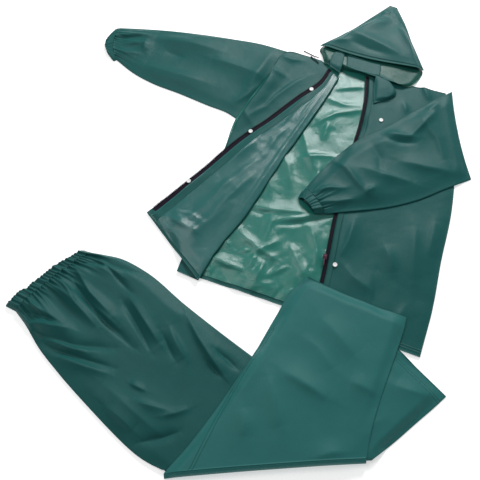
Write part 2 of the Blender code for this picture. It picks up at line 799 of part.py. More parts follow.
def hood_and_collar(stack):
    """Lay the collar pieces and the hood's two sides, with the hem round its face opening."""
    points = panel_points(HOOD_UNDER, HOOD_UNDER_GRID)
    sheet(stack, "hood_under_side", COATED_CLOTH, points)
    points = panel_points(BACK_COLLAR, BACK_COLLAR_GRID)
    sheet(stack, "back_collar", MATT_CLOTH, points)
    points = panel_points(RIGHT_COLLAR, RIGHT_COLLAR_GRID)
    sheet(stack, "right_collar", MATT_CLOTH, points)
    points = panel_points(LEFT_COLLAR, LEFT_COLLAR_GRID)
    sheet(stack, "left_collar", MATT_CLOTH, points)
    points = panel_points(HOOD_TOP, HOOD_TOP_GRID, 0.0, HOOD_HEM_SHARE)
    hood = sheet(stack, "hood_top_side", MATT_CLOTH, points, HOOD_CREASES, puff=HOOD_PUFF)
    strip("hood_rim_hem", MATT_CLOTH, hood[0:2])


def trousers(stack):
    """Lay the trousers: thighs with the waistband, then the two shins folded back over them."""
    hidden = panel_points(HIDDEN_LEG, HIDDEN_LEG_GRID)
    solid_layers(stack, "right_leg_hidden_layers", MATT_CLOTH, hidden, HIDDEN_HEIGHT)
    points = panel_points(THIGH, THIGH_GRID)
    thigh = tube(stack, "left_leg_thigh", MATT_CLOTH, points, THIGH_CREASES)
    points = panel_points(WAISTBAND, WAISTBAND_GRID)
    waist = tube(stack, "waistband", MATT_CLOTH, points, gathers=WAIST_GATHERS, height=BAND_HEIGHT)
    stack.lay(thigh)
    stack.lay(waist)
    points = panel_points(LOWER_LEG, LOWER_LEG_GRID)
    stack.lay(tube(stack, "left_leg_shin", MATT_CLOTH, points, LOWER_LEG_CREASES, height=SHIN_HEIGHT))
    points = panel_points(TOP_LEG, TOP_LEG_GRID)
    knee_fold(tube(stack, "right_leg_shin", MATT_CLOTH, points, TOP_LEG_CREASES))


def knee_fold(top):
    """Wrap the outer leg's cloth round the fold at the knees, from the floor up to its shin."""
    end = top[0]
    run = end[-1, :2] - end[0, :2]
    outward = np.array([run[1], -run[0]]) / np.linalg.norm(run)
    skins = []
    for inset in (0.0, WALL):
        rows = []
        for step in range(KNEE_FOLD_STEPS):
            turn = math.pi * step / (KNEE_FOLD_STEPS - 1)
            out = SEAM_GAP + (KNEE_FOLD_DEPTH - inset) * math.sin(turn)
            half = end[:, 2] / 2
            height = half - (half - inset) * math.cos(turn)
            rows.append(raised(end[:, :2] + outward * out, height))
        skins.append(np.stack(rows))
    wall_between(*skins, "right_leg_knee_fold", MATT_CLOTH)


def snaps(stack):
    """Set the press studs on the fronts."""
    places = SNAPS_ON_OPENED_FRONT + SNAPS_ON_LEFT_FRONT
    for number, (x, y) in enumerate(places, start=1):
        base = stack.highest(x, y, SNAP_SEAT) + SEAM_GAP
        body = bmesh.new()
        bmesh.ops.create_cone(
            body,
            cap_ends=True,
            segments=ROUND_SEGMENTS,
            radius1=SNAP_RADIUS,
            radius2=SNAP_RADIUS,
            depth=SNAP_HEIGHT,
        )
        rim = [e for e in body.edges if all(v.co.z > 0 for v in e.verts)]
        bmesh.ops.bevel(body, geom=rim, offset=SNAP_BEVEL, segments=2, affect="EDGES", profile=0.5)
        bmesh.ops.translate(body, verts=body.verts, vec=(x, y, base + SNAP_HEIGHT / 2))
        finished(body, f"snap_{number}", SNAP_PLASTIC)


def box(body, size, place):
    """Add a box of a size about a place to a bmesh."""
    made = bmesh.ops.create_cube(body, size=1.0)["verts"]
    bmesh.ops.scale(body, verts=made, vec=size)
    bmesh.ops.translate(body, verts=made, vec=place)


def joined(name, finish, makers, turn, place):
    """Union several simple bodies, then turn and place them as one object."""
    parts = []
    for number, maker in enumerate(makers):
        body = bmesh.new()
        maker(body)
        mesh = bpy.data.meshes.new(f"{name}_{number}")
        bmesh.ops.recalc_face_normals(body, faces=body.faces)
        body.to_mesh(mesh)
        body.free()
        parts.append(bpy.data.objects.new(f"{name}_{number}", mesh))
        bpy.context.scene.collection.objects.link(parts[-1])
    base = parts[0]
    for other in parts[1:]:
        union = base.modifiers.new("join", "BOOLEAN")
        union.operation = "UNION"
        union.object = other
    bpy.context.view_layer.update()
    evaluated = base.evaluated_get(bpy.context.evaluated_depsgraph_get())
    body = bmesh.new()
    body.from_mesh(evaluated.to_mesh())
    for part in parts:
        bpy.data.objects.remove(part, do_unlink=True)
    spin = np.array([[math.cos(turn), -math.sin(turn)], [math.sin(turn), math.cos(turn)]])
    for corner in body.verts:
        x, y = spin @ np.array(corner.co[:2])
        corner.co = (x + place[0], y + place[1], corner.co.z + place[2])
    return finished(body, name, finish)


def cylinder_across(body, radius, length, place):
    """Add a cylinder along x to a bmesh."""
    made = bmesh.ops.create_cone(
        body, cap_ends=True, segments=ROUND_SEGMENTS, radius1=radius, radius2=radius, depth=length
    )["verts"]
    for corner in made:
        x, y, z = corner.co
        corner.co = (z + place[0], y + place[1], x + place[2])


def tab_eye(body):
    """Add the round eye of the pull tab, bored for the hinge bar."""
    angles = [2 * math.pi * k / EYE_STEPS for k in range(EYE_STEPS)]
    rings = []
    for x in (-EYE_WIDTH / 2, EYE_WIDTH / 2):
        for radius in (EYE_INNER, EYE_OUTER):
            rings.append([body.verts.new((x, radius * math.cos(a), radius * math.sin(a))) for a in angles])
    inner_left, outer_left, inner_right, outer_right = rings
    for first, second in (
        (inner_left, outer_left),
        (outer_left, outer_right),
        (outer_right, inner_right),
        (inner_right, inner_left),
    ):
        for k in range(EYE_STEPS):
            n = (k + 1) % EYE_STEPS
            body.faces.new((first[k], first[n], second[n], second[k]))


def slider(stack):
    """Set the zip's slider at the bottom of the left zip tape, with its hinged pull tab."""
    x, y = SLIDER_PLACE
    base = stack.highest(x, y, SLIDER_SEAT) + LAYER_GAP
    hinge = SLIDER_HEIGHT + LUG_HEIGHT - HINGE_RADIUS - HINGE_COVER
    lug_x = EYE_WIDTH / 2 + EYE_CLEARANCE + LUG_WIDTH / 2
    makers = [lambda b: box(b, (SLIDER_WIDTH, SLIDER_LENGTH, SLIDER_HEIGHT), (0, 0, SLIDER_HEIGHT / 2))]
    for side in (-1, 1):
        makers.append(
            lambda b, s=side: box(
                b,
                (LUG_WIDTH, LUG_LENGTH, LUG_HEIGHT + LUG_ROOT),
                (s * lug_x, 0, SLIDER_HEIGHT + (LUG_HEIGHT - LUG_ROOT) / 2),
            )
        )
    makers.append(lambda b: cylinder_across(b, HINGE_RADIUS, 2 * lug_x, (0, 0, hinge)))
    joined("slider", SLIDER_METAL, makers, SLIDER_TURN, (x, y, base))
    tab_middle = -(EYE_OUTER - EYE_CLEARANCE) - TAB_LENGTH / 2
    tab_makers = [
        tab_eye,
        lambda b: box(b, (EYE_WIDTH, TAB_LENGTH, TAB_THICKNESS), (0, tab_middle, 0)),
    ]
    joined("pull_tab", SLIDER_METAL, tab_makers, SLIDER_TURN, (x, y, base + hinge))


def drawcords(stack):
    """Lay the free ends of the hood's drawcord."""
    for name, route in DRAWCORDS.items():
        points = np.array(route, float)
        curve = bpy.data.curves.new(name, "CURVE")
        curve.dimensions = "3D"
        curve.bevel_depth = DRAWCORD_RADIUS * MM
        curve.bevel_resolution = 2
        curve.use_fill_caps = True
        smooth = smooth_route(points, DRAWCORD_STEPS)
        line = curve.splines.new("POLY")
        line.points.add(len(smooth) - 1)
        under = [stack.highest(x, y, DRAWCORD_SEAT) for x, y in smooth]
        for k, (target, (x, y)) in enumerate(zip(line.points, smooth)):
            z = max(under[max(k - 1, 0):k + 2]) + DRAWCORD_RADIUS + LAYER_GAP
            target.co = (x * MM, y * MM, z * MM, 1.0)
        made = bpy.data.objects.new(name, curve)
        curve.materials.append(blender_material(ZIP_TAPE))
        bpy.context.scene.collection.objects.link(made)


def smooth_route(points, steps):
    """Return a smooth curve through points, with a number of steps between each two."""
    at = np.arange(len(points), dtype=float)
    slopes = np.gradient(points, at, axis=0)
    wanted = np.linspace(0, at[-1], steps * (len(points) - 1) + 1)
    i = np.clip(wanted.astype(int), 0, len(points) - 2)
    s = (wanted - i)[:, None]
    start, end = points[i], points[i + 1]
    bend = s * (1 - s) ** 2 * slopes[i] + s * s * (s - 1) * slopes[i + 1]
    return start + (end - start) * s * s * (3 - 2 * s) + bend


def centre_layout():
    """Move every piece so that the middle of the whole layout is over the origin."""
    bpy.context.view_layer.update()
    pieces = list(bpy.context.scene.objects)
    corners = np.array([piece.matrix_world @ Vector(c) for piece in pieces for c in piece.bound_box])
    middle = (corners.min(axis=0) + corners.max(axis=0)) / 2
    for piece in pieces:
        piece.location.x -= middle[0]
        piece.location.y -= middle[1]


def build():
    """Lay every piece, from the bottom of the layout to its top."""
    clear_scene()
    stack = Stack()
    sleeve_tops = right_sleeve(stack)
    back_panel(stack)
    front = opened_front(stack)
    trim_opened_front(front)
    stack.lay(front + np.array([0.0, 0.0, SEAM_GAP + STRIP_WALL]))
    for top in sleeve_tops:
        stack.lay(top)
    left_front(stack)
    snaps(stack)
    slider(stack)
    drawcords(stack)
    hood_and_collar(stack)
    left_sleeve(stack)
    trousers(stack)
    centre_layout()


build()
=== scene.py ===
"""A rain suit laid out flat: its cloth, fastenings, floor, light and camera.

Tables and sizes are in millimetres on the floor, with x to the right and y away from the viewer.
They become metres about the middle of the layout where a mesh is made.
"""

import logging
import math
from dataclasses import dataclass, field
from enum import Enum
from typing import NamedTuple

import bpy
import numpy as np
from mathutils import Matrix, Vector
from mathutils.bvhtree import BVHTree


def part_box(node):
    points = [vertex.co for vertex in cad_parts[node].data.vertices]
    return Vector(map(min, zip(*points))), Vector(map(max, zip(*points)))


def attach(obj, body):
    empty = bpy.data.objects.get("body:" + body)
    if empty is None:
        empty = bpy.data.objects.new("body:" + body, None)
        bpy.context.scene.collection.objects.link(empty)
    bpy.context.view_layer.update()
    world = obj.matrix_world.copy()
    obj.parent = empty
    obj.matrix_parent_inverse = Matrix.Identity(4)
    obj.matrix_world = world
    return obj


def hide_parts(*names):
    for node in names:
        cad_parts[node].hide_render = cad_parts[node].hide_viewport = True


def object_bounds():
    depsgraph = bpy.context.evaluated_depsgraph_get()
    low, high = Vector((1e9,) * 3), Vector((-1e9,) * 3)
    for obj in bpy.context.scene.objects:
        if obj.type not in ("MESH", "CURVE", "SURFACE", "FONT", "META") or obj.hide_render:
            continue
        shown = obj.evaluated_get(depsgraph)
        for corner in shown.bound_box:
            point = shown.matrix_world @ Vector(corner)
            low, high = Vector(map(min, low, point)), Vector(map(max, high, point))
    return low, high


LOG = logging.getLogger("rain_suit")
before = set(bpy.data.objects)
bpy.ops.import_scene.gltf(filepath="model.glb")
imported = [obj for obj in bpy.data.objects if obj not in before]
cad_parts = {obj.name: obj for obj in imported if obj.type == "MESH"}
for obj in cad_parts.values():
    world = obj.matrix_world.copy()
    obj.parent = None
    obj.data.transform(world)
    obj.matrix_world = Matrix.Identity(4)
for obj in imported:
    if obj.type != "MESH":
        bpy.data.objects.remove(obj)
CAD_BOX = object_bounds()

MM = 0.001
SUIT = "suit"
GAP = 0.35
CLOTH = 0.6
TRIM = 0.5
FINE = 4.0
FAR_FROM_SEAM = 1000.0

SNAPS_ON_OPENED_FRONT = ((189.0, 1107.0), (27.0, 974.0), (-127.0, 829.0))
SNAPS_ON_LEFT_FRONT = ((365.0, 1010.0), (221.0, 603.0))

CAMERA_PLACE = (0.0, 0.0, 1440.0)
CAMERA_TILT = 25.0
CAMERA_LENS = 50.0
CAMERA_SENSOR = 36.0


class Section(NamedTuple):
    """A line across a panel, and how far its middle bows to the left of its direction."""

    left_x: float
    left_y: float
    right_x: float
    right_y: float
    bow: float = 0.0


class TurnedSection(NamedTuple):
    """A line across the opened front: side seam, fold, and the front edge laid back over them."""

    seam_x: float
    seam_y: float
    fold_x: float
    fold_y: float
    edge_x: float
    edge_y: float


class Fold(NamedTuple):
    """A soft ridge along a route, or a trough where its height is negative, steeper to one side."""

    route: tuple
    width: float
    height: float
    lean: float = 0.0


class Gathers(NamedTuple):
    """Pleats that run from a gathered edge: how many, how deep and how long they are."""

    count: int
    depth: float
    length: float
    seed: int


BACK = (
    Section(-146, 591, 391, 388, 5),
    Section(-128, 640, 420, 470),
    Section(-84, 800, 500, 720),
    Section(-38, 932, 534, 880),
    Section(-9, 1021, 540, 990),
    Section(60, 1129, 541, 1060),
    Section(129, 1238, 541, 1097),
)
BACK_FOLDS = (
    Fold(((193, 1000), (250, 1031), (318, 1042)), 9, 5.2, 0.4),
    Fold(((230, 1085), (280, 1059), (322, 1057)), 8, 3.9, -0.3),
    Fold(((255, 1112), (332, 1119)), 7, 3.9, 0.3),
    Fold(((231, 1012), (209, 946)), 7, 3.9, 0.3),
    Fold(((152, 897), (195, 905), (245, 902)), 8, 5.2, -0.4),
    Fold(((30, 761), (80, 748), (173, 740)), 8, 5.2, 0.4),
    Fold(((26, 752), (56, 740), (82, 744)), 6, -3.2),
    Fold(((80, 728), (60, 674)), 7, 3.9, -0.4),
    Fold(((88, 709), (147, 713), (204, 728), (228, 736)), 7, -5.2, 0.3),
    Fold(((92, 722), (150, 727), (215, 748)), 8, 5.9, -0.3),
    Fold(((0, 690), (42, 644), (95, 610)), 7, 5.2, 0.3),
    Fold(((42, 644), (20, 600)), 6, 4.5),
    Fold(((42, 644), (90, 665)), 6, 4.5, -0.3),
    Fold(((42, 644), (-10, 640)), 6, 3.9),
    Fold(((120, 650), (150, 560)), 8, 5.2, 0.3),
    Fold(((170, 700), (182, 640), (176, 590)), 8, 5.2, -0.3),
    Fold(((60, 620), (30, 560)), 7, 4.5, 0.4),
    Fold(((-95, 640), (-30, 605), (20, 585)), 8, 5.2, 0.3),
    Fold(((-60, 690), (-20, 650)), 7, 3.9, -0.3),
    Fold(((-110, 612), (-60, 585)), 6, 3.9),
    Fold(((110, 600), (60, 575)), 7, 4.5, -0.3),
    Fold(((20, 900), (60, 850), (75, 790)), 12, 5.2, 0.3),
    Fold(((90, 960), (120, 880), (130, 800)), 13, 5.2, -0.3),
    Fold(((160, 990), (170, 920), (185, 850)), 11, 4.5, 0.3),
    Fold(((200, 880), (195, 820), (210, 770)), 10, 4.5, -0.3),
    Fold(((-20, 860), (-5, 800), (-20, 740)), 10, 4.5, 0.3),
)

OPENED_FRONT = (
    TurnedSection(222, 1208, 262, 1146, 240, 1180),
    TurnedSection(180, 1226, 240, 1106, 213, 1137),
    TurnedSection(134, 1237, 210, 1056, 156, 1090),
    TurnedSection(66, 1129, 164, 984, 74, 1017),
    TurnedSection(-3, 1020, 114, 906, -6, 953),
    TurnedSection(-36, 932, 56, 808, -75, 886),
    TurnedSection(-72, 820, 1, 719, -156, 808),
    TurnedSection(-108, 710, -50, 650, -203, 765),
    TurnedSection(-147, 589, -99, 567, -226, 743),
)
OPENED_FRONT_FOLDS = (
    Fold(((-75, 730), (-27, 781), (24, 833), (37, 848)), 8, 4, 0.4),
    Fold(((-136, 669), (-80, 716), (-27, 763)), 12, 3.5, -0.3),
    Fold(((-148, 658), (-122, 690), (-103, 717)), 4, -2),
    Fold(((-182, 733), (-140, 706), (-98, 679)), 8, 4, 0.3),
    Fold(((-160, 745), (-120, 735), (-90, 712)), 7, 3, -0.3),
    Fold(((-170, 700), (-135, 655)), 7, 3.5, 0.3),
    Fold(((-195, 720), (-150, 640)), 6, 3, -0.3),
    Fold(((46, 948), (15, 920), (-13, 894)), 8, 3.5, 0.3),
    Fold(((-60, 800), (-20, 840)), 7, 3, -0.3),
    Fold(((60, 900), (90, 950), (120, 985)), 8, 3, 0.3),
    Fold(((150, 1010), (185, 1060), (215, 1100)), 7, 2.5, -0.3),
    Fold(((232, 1118), (198, 1062), (152, 990), (101, 912), (44, 815), (-11, 727), (-62, 660)), 6, 3, 0.5),
    Fold(((-150, 790), (-100, 830), (-60, 860)), 9, 3.5, 0.3),
    Fold(((-110, 740), (-20, 830), (60, 905)), 12, 3.5, -0.3),
    Fold(((-170, 690), (-110, 730), (-60, 770)), 9, 3.5, 0.4),
    Fold(((-40, 870), (20, 930), (90, 1000)), 9, 2.5, 0.4),
    Fold(((100, 980), (140, 1040), (190, 1100)), 8, 3, 0.4),
)
CHEST_FOLDS = (
    Fold(((183, 1157), (143, 1131), (97, 1091), (68, 1056), (31, 1032), (16, 1018)), 9, 5.2, 0.4),
    Fold(((74, 1182), (127, 1151)), 8, 4.5, -0.3),
    Fold(((104, 1224), (144, 1209), (175, 1209)), 8, 3.9),
    Fold(((-8, 1067), (31, 997)), 9, 4.5, 0.3),
)

LEFT_FRONT = (
    Section(166, 472, 395, 385),
    Section(196, 572, 438, 500),
    Section(212, 638, 470, 610),
    Section(235, 733, 512, 740),
    Section(266, 832, 535, 850),
    Section(298, 943, 542, 940),
    Section(320, 1012, 545, 1010),
    Section(336, 1079, 546, 1060),
    Section(345, 1150, 545, 1099),
)
LEFT_FRONT_FOLDS = (
    Fold(((329, 1016), (317, 962)), 5, -3.8),
    Fold(((239, 728), (225, 658), (218, 622), (205, 578)), 4, -2.2),
    Fold(((275, 723), (253, 662), (230, 622)), 9, 6, 0.4),
    Fold(((242, 604), (260, 574), (299, 540)), 11, 6, -0.3),
    Fold(((321, 597), (314, 560), (307, 518)), 5, -4.5),
    Fold(((340, 658), (348, 620), (354, 582)), 14, 6, 0.3),
    Fold(((339, 547), (373, 542)), 8, -4.5),
    Fold(((484, 1132), (498, 1070)), 10, 6, 0.3),
    Fold(((430, 1070), (434, 1032)), 8, 4.5),
    Fold(((420, 710), (408, 640), (400, 560)), 18, 6.8, -0.2),
    Fold(((470, 725), (455, 670), (440, 620)), 14, 5.2, 0.3),
    Fold(((370, 500), (330, 440)), 12, 5.2, 0.3),
    Fold(((260, 500), (290, 450)), 12, 4.5, -0.3),
    Fold(((300, 900), (315, 850), (310, 800)), 8, 4.5, 0.3),
)

RIGHT_SLEEVE = (
    Section(-332, 1322, -336, 1213, -14),
    Section(-280, 1319, -292, 1172),
    Section(-200, 1312, -234, 1134),
    Section(-110, 1299, -160, 1100),
    Section(-20, 1282, -84, 1062),
    Section(60, 1264, -36, 1040),
    Section(130, 1238, -8, 1019, 6),
)
RIGHT_SLEEVE_FOLDS = (
    Fold(((-340, 1293), (-281, 1293), (-241, 1287)), 7, 5.6, 0.3),
    Fold(((-340, 1279), (-304, 1285), (-266, 1285)), 6, -4.2),
    Fold(((-336, 1238), (-313, 1231), (-277, 1229)), 7, 5.6, -0.3),
    Fold(((-260, 1272), (-262, 1250), (-258, 1234)), 9, 5.6, 0.3),
    Fold(((-325, 1258), (-290, 1262), (-262, 1262)), 6, 4.2, 0.3),
    Fold(((-330, 1308), (-280, 1308), (-220, 1303)), 7, 4.2),
    Fold(((-240, 1280), (-140, 1262), (-30, 1228)), 22, 5.6, 0.2),
    Fold(((-262, 1190), (-180, 1160), (-90, 1130)), 20, 5.6, -0.2),
    Fold(((-80, 1210), (0, 1180), (70, 1140)), 18, 5.6, 0.3),
    Fold(((90, 1240), (60, 1180), (20, 1110)), 12, 4.9, -0.3),
    Fold(((-20, 1062), (20, 1090), (60, 1130)), 9, 4.9, 0.3),
    Fold(((-150, 1290), (-80, 1282), (0, 1272)), 12, 4.2),
    Fold(((-205, 1240), (-150, 1215)), 14, -3.5),
)

RIGHT_CUFF = (
    Section(-358, 1296, -356, 1226, -14),
    Section(-346, 1318, -344, 1210, -14),
    Section(-332.4, 1322, -336.4, 1213, -14),
)
LEFT_CUFF = (
    Section(143, 781, 178, 737, 4),
    Section(150, 795, 190, 737, 4),
    Section(159.7, 805.8, 203.7, 737.8, 4),
)

LEFT_SLEEVE = (
    Section(160, 806, 204, 738, 4),
    Section(200, 852, 250, 742),
    Section(291, 938, 374, 760),
    Section(376, 985, 436, 778),
    Section(470, 1045, 500, 806),
    Section(530, 1082, 540, 823),
    Section(562, 1102, 574, 838, -8),
)
LEFT_SLEEVE_FOLDS = (
    Fold(((361, 951), (400, 938), (443, 935)), 7.6, -6.4),
    Fold(((365, 966), (405, 955), (450, 950)), 8.5, 6.4, 0.3),
    Fold(((503, 1027), (470, 990), (433, 953)), 9.5, 7.2, -0.4),
    Fold(((238, 881), (264, 850), (285, 815), (306, 789)), 8.5, 7.2, 0.4),
    Fold(((306, 789), (329, 804)), 6.6, 5.6),
    Fold(((520, 1060), (500, 1045), (486, 1036)), 7.6, 4.8),
    Fold(((400, 880), (460, 862), (530, 850)), 15.2, 6.4, 0.3),
    Fold(((300, 860), (360, 838), (430, 818)), 13.3, 6.4, -0.3),
    Fold(((180, 790), (215, 800), (255, 800)), 6.6, 5.6, 0.3),
    Fold(((200, 765), (235, 765), (280, 772)), 6.6, 4.8),
    Fold(((470, 1000), (500, 950), (510, 880)), 13.3, 5.6, 0.3),
    Fold(((330, 940), (350, 890), (345, 830)), 13.3, -4.8),
)

HOOD_UNDER = (
    Section(228, 1196, 380, 1160, -8),
    Section(224, 1222, 430, 1118, -10),
    Section(222, 1252, 490, 1160, -10),
    Section(262, 1280, 484, 1210),
    Section(318, 1322, 474, 1265),
    Section(382, 1372, 462, 1335),
    Section(425, 1404, 447, 1396),
)
HOOD_TOP = (
    Section(219, 1250, 494, 1170, -14),
    Section(262, 1278, 486, 1206, -6),
    Section(318, 1320, 475, 1262),
    Section(384, 1372, 463, 1335),
    Section(427, 1406, 446, 1398),
)
HOOD_FOLDS = (
    Fold(((292, 1295), (360, 1258), (436, 1208)), 14, 6.3, 0.3),
    Fold(((330, 1308), (375, 1328), (425, 1350)), 13, 4.9, -0.3),
    Fold(((250, 1264), (275, 1262), (300, 1262)), 7, 4.2),
    Fold(((440, 1320), (455, 1275), (470, 1225)), 11, 4.9, 0.3),
    Fold(((300, 1262), (350, 1232), (400, 1212)), 8, -4.2),
    Fold(((400, 1380), (425, 1372)), 7, 3.5),
)

RIGHT_COLLAR = (
    Section(240, 1182, 266, 1160),
    Section(245, 1204, 278, 1192),
    Section(254, 1222, 286, 1240),
)
LEFT_COLLAR = (
    Section(350, 1062, 386, 1074),
    Section(352, 1092, 409, 1086),
    Section(356, 1122, 413, 1098),
    Section(362, 1150, 398, 1124),
)
BACK_COLLAR = (
    Section(286, 1178, 372, 1146, -4),
    Section(288, 1198, 376, 1164, -4),
    Section(291, 1222, 378, 1184, -4),
)

HIDDEN_LEG = (
    Section(-496, 500, -356, 618),
    Section(-440, 424, -280, 600),
    Section(-310, 286, -122, 490),
    Section(-222, 206, 30, 372),
    Section(-184, 172, 180, 262),
    Section(-152, 148, 282, 178),
)
THIGH = (
    Section(-507, 492, -349, 636, 3),
    Section(-482, 462, -318, 630, 4),
    Section(-447, 411, -278, 620),
    Section(-401, 358, -219, 587),
    Section(-316, 272, -122, 503),
    Section(-228, 191, 34, 380),
    Section(-188, 164, 180, 272),
    Section(-158, 150, 280, 180),
)
THIGH_FOLDS = (
    Fold(((-500, 512), (-458, 495), (-388, 455)), 8.5, 9.5, 0.3),
    Fold(((-490, 488), (-450, 478), (-402, 462)), 7.6, -7.6),
    Fold(((-480, 462), (-430, 455), (-373, 445)), 8.5, 9.5, -0.3),
    Fold(((-476, 448), (-420, 426), (-363, 409), (-274, 402)), 8.5, -9.5, 0.3),
    Fold(((-438, 430), (-380, 405), (-330, 392)), 8.5, 8.5, 0.3),
    Fold(((-438, 416), (-390, 394), (-339, 378), (-270, 358)), 7.6, -8.5),
    Fold(((-400, 385), (-330, 360), (-280, 345)), 9.5, 8.5, -0.3),
    Fold(((-403, 593), (-353, 517), (-299, 459), (-233, 402)), 9.5, -11.4, 0.4),
    Fold(((-418, 578), (-370, 505), (-315, 448)), 10.4, 9.5, -0.4),
    Fold(((-385, 600), (-340, 530), (-285, 475)), 10.4, 9.5, 0.4),
    Fold(((-330, 502), (-300, 475), (-270, 448)), 8.5, 7.6, 0.3),
    Fold(((-390, 604), (-350, 604), (-311, 600), (-249, 532)), 8.5, -9.5, 0.3),
    Fold(((-364, 620), (-320, 608), (-270, 570)), 8.5, 9.5, 0.3),
    Fold(((-355, 628), (-293, 600), (-217, 575)), 6.6, -6.6),
    Fold(((-269, 517), (-230, 455), (-192, 389)), 9.5, -9.5, 0.3),
    Fold(((-250, 520), (-210, 460), (-175, 410)), 11.4, 9.5, 0.3),
    Fold(((-178, 445), (-160, 410), (-140, 371)), 9.5, -8.5),
    Fold(((-160, 455), (-140, 415), (-118, 375)), 11.4, 8.5, -0.3),
    Fold(((-121, 481), (-91, 423), (-60, 375), (-33, 338)), 10.4, 9.5, 0.4),
    Fold(((-57, 402), (-30, 380), (-3, 355)), 7.6, -9.5),
    Fold(((-73, 375), (-55, 355), (-39, 338)), 6.6, -7.6),
    Fold(((-238, 327), (-220, 318), (-200, 308)), 7.6, 6.6, 0.3),
    Fold(((-225, 289), (-190, 278), (-153, 268)), 8.5, 6.6, -0.3),
    Fold(((-165, 255), (-135, 262), (-107, 272)), 8.5, 5.7, 0.3),
    Fold(((-284, 276), (-250, 250), (-221, 225)), 14.2, 7.6, 0.3),
    Fold(((-213, 203), (-163, 212), (-125, 225)), 8.5, -7.6),
    Fold(((-300, 330), (-230, 270), (-160, 215)), 17.1, 6.6, -0.2),
)
WAISTBAND = (
    Section(-532, 505, -372, 644, 3),
    Section(-522, 500, -362, 640, 3),
    Section(-507.3, 492.3, -349.3, 636.3, 3),
)

LOWER_LEG = (
    Section(-60, 152, 268, 168),
    Section(60, 270, 320, 205),
    Section(160, 360, 372, 246),
    Section(236, 440, 417, 281),
    Section(281, 477, 441, 301),
)
LOWER_LEG_FOLDS = (
    Fold(((330, 320), (365, 308), (400, 300)), 14, 4, 0.3),
    Fold(((300, 400), (350, 340)), 12, 3, -0.3),
    Fold(((200, 210), (300, 250)), 14, 3),
)

TOP_LEG = (
    Section(-154, 142, 256, 171, 2),
    Section(-112, 188, 270, 222),
    Section(-38, 286, 304, 310),
    Section(26, 382, 334, 378),
    Section(84, 482, 356, 428),
    Section(118, 536, 366, 454),
    Section(158, 572, 372, 476, -3),
)
KNEE_FOLD_DEPTH = 9.0
KNEE_FOLD_ROWS = 17
TOP_LEG_FOLDS = (
    Fold(((90, 348), (140, 318), (187, 288)), 14, 5.9, 0.3),
    Fold(((59, 341), (72, 285), (86, 228)), 16, 5.2, -0.3),
    Fold(((2, 272), (6, 240), (6, 210)), 14, 4.5, 0.3),
    Fold(((150, 172), (186, 180), (220, 182)), 12, 4.5, 0.3),
    Fold(((180, 470), (215, 425), (250, 380)), 20, 4.5, 0.2),
    Fold(((-20, 300), (20, 360), (60, 420)), 16, 4.5, -0.3),
    Fold(((230, 330), (260, 315), (290, 300)), 16, 4.5, 0.3),
    Fold(((130, 430), (170, 400), (200, 350)), 18, 3.9, -0.2),
)
TOP_LEG_SEAM = ((73, 449), (14, 357), (-40, 263), (-77, 194), (-103, 142))

DRAWCORD_RADIUS = 1.3
DRAWCORDS = {
    "drawcord_end": ((175, 1243), (181, 1239), (189, 1234), (201, 1226), (214, 1216)),
    "drawcord_second_end": ((193, 1222), (197, 1216), (205, 1208), (213, 1198)),
}


def layout_middle() -> np.ndarray:
    """Return the floor place, in millimetres, that lies at the frame's origin."""
    low, high = np.array(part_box("snap_1")).reshape(2, 3)
    return np.array(SNAPS_ON_OPENED_FRONT[0]) - (low[:2] + high[:2]) / 2 / MM


MIDDLE = layout_middle()


def to_frame(points: np.ndarray) -> np.ndarray:
    """Turn floor millimetres into metres of the frame.

    Args:
        points: places with x, y and z in their last axis.

    Returns:
        The same places in the frame.
    """
    return (points - np.array([MIDDLE[0], MIDDLE[1], 0.0])) * MM


def through(table: tuple, stations: np.ndarray) -> np.ndarray:
    """Join the rows of a table by smooth curves.

    Args:
        table: sections, in order along the panel.
        stations: shares of the way along at which to sample.

    Returns:
        One row of values for each station.
    """
    rows = np.array(table, float)
    middles = (rows[:, 0:2] + rows[:, 2:4]) / 2
    steps = np.linalg.norm(np.diff(middles, axis=0), axis=1)
    at = np.concatenate([[0.0], np.cumsum(steps)])
    slopes = np.gradient(rows, at, axis=0)
    wanted = np.asarray(stations) * at[-1]
    before = np.clip(np.searchsorted(at, wanted, side="right") - 1, 0, len(at) - 2)
    length = (at[before + 1] - at[before])[:, None]
    share = (wanted - at[before])[:, None] / length
    start, end = rows[before], rows[before + 1]
    smooth = share * share * (3 - 2 * share)
    leave = share * (1 - share) ** 2 * length * slopes[before]
    arrive = share * share * (share - 1) * length * slopes[before + 1]
    return start + (end - start) * smooth + leave + arrive


def lines_between(starts: np.ndarray, ends: np.ndarray, bows: np.ndarray, across: np.ndarray) -> np.ndarray:
    """Return points along straight or bowed lines.

    Args:
        starts: the lines' first ends.
        ends: the lines' second ends.
        bows: how far each line's middle bows to the left.
        across: shares along the lines, one row for all or one for each.

    Returns:
        A grid of floor points.
    """
    along = ends - starts
    length = np.linalg.norm(along, axis=1, keepdims=True)
    sideways = np.stack([-along[:, 1], along[:, 0]], axis=1) / length
    v = across if across.ndim == 2 else np.broadcast_to(across, (len(starts), len(across)))
    curve = (4 * v * (1 - v))[:, :, None] * bows[:, None, None] * sideways[:, None, :]
    return starts[:, None, :] + along[:, None, :] * v[:, :, None] + curve


def lengths_along(points: np.ndarray) -> np.ndarray:
    """Return how far each point of a grid is from its column's first point."""
    steps = np.linalg.norm(np.diff(points, axis=0), axis=-1)
    return np.concatenate([np.zeros((1, points.shape[1])), np.cumsum(steps, axis=0)])


def lengths_across(points: np.ndarray) -> np.ndarray:
    """Return how far each point of a grid is from its row's first point."""
    return lengths_along(points.swapaxes(0, 1)).swapaxes(0, 1)


def smooth_step(share: np.ndarray) -> np.ndarray:
    """Return a soft step from 0 to 1 as a share goes from 0 to 1."""
    s = np.clip(share, 0.0, 1.0)
    return s * s * (3 - 2 * s)


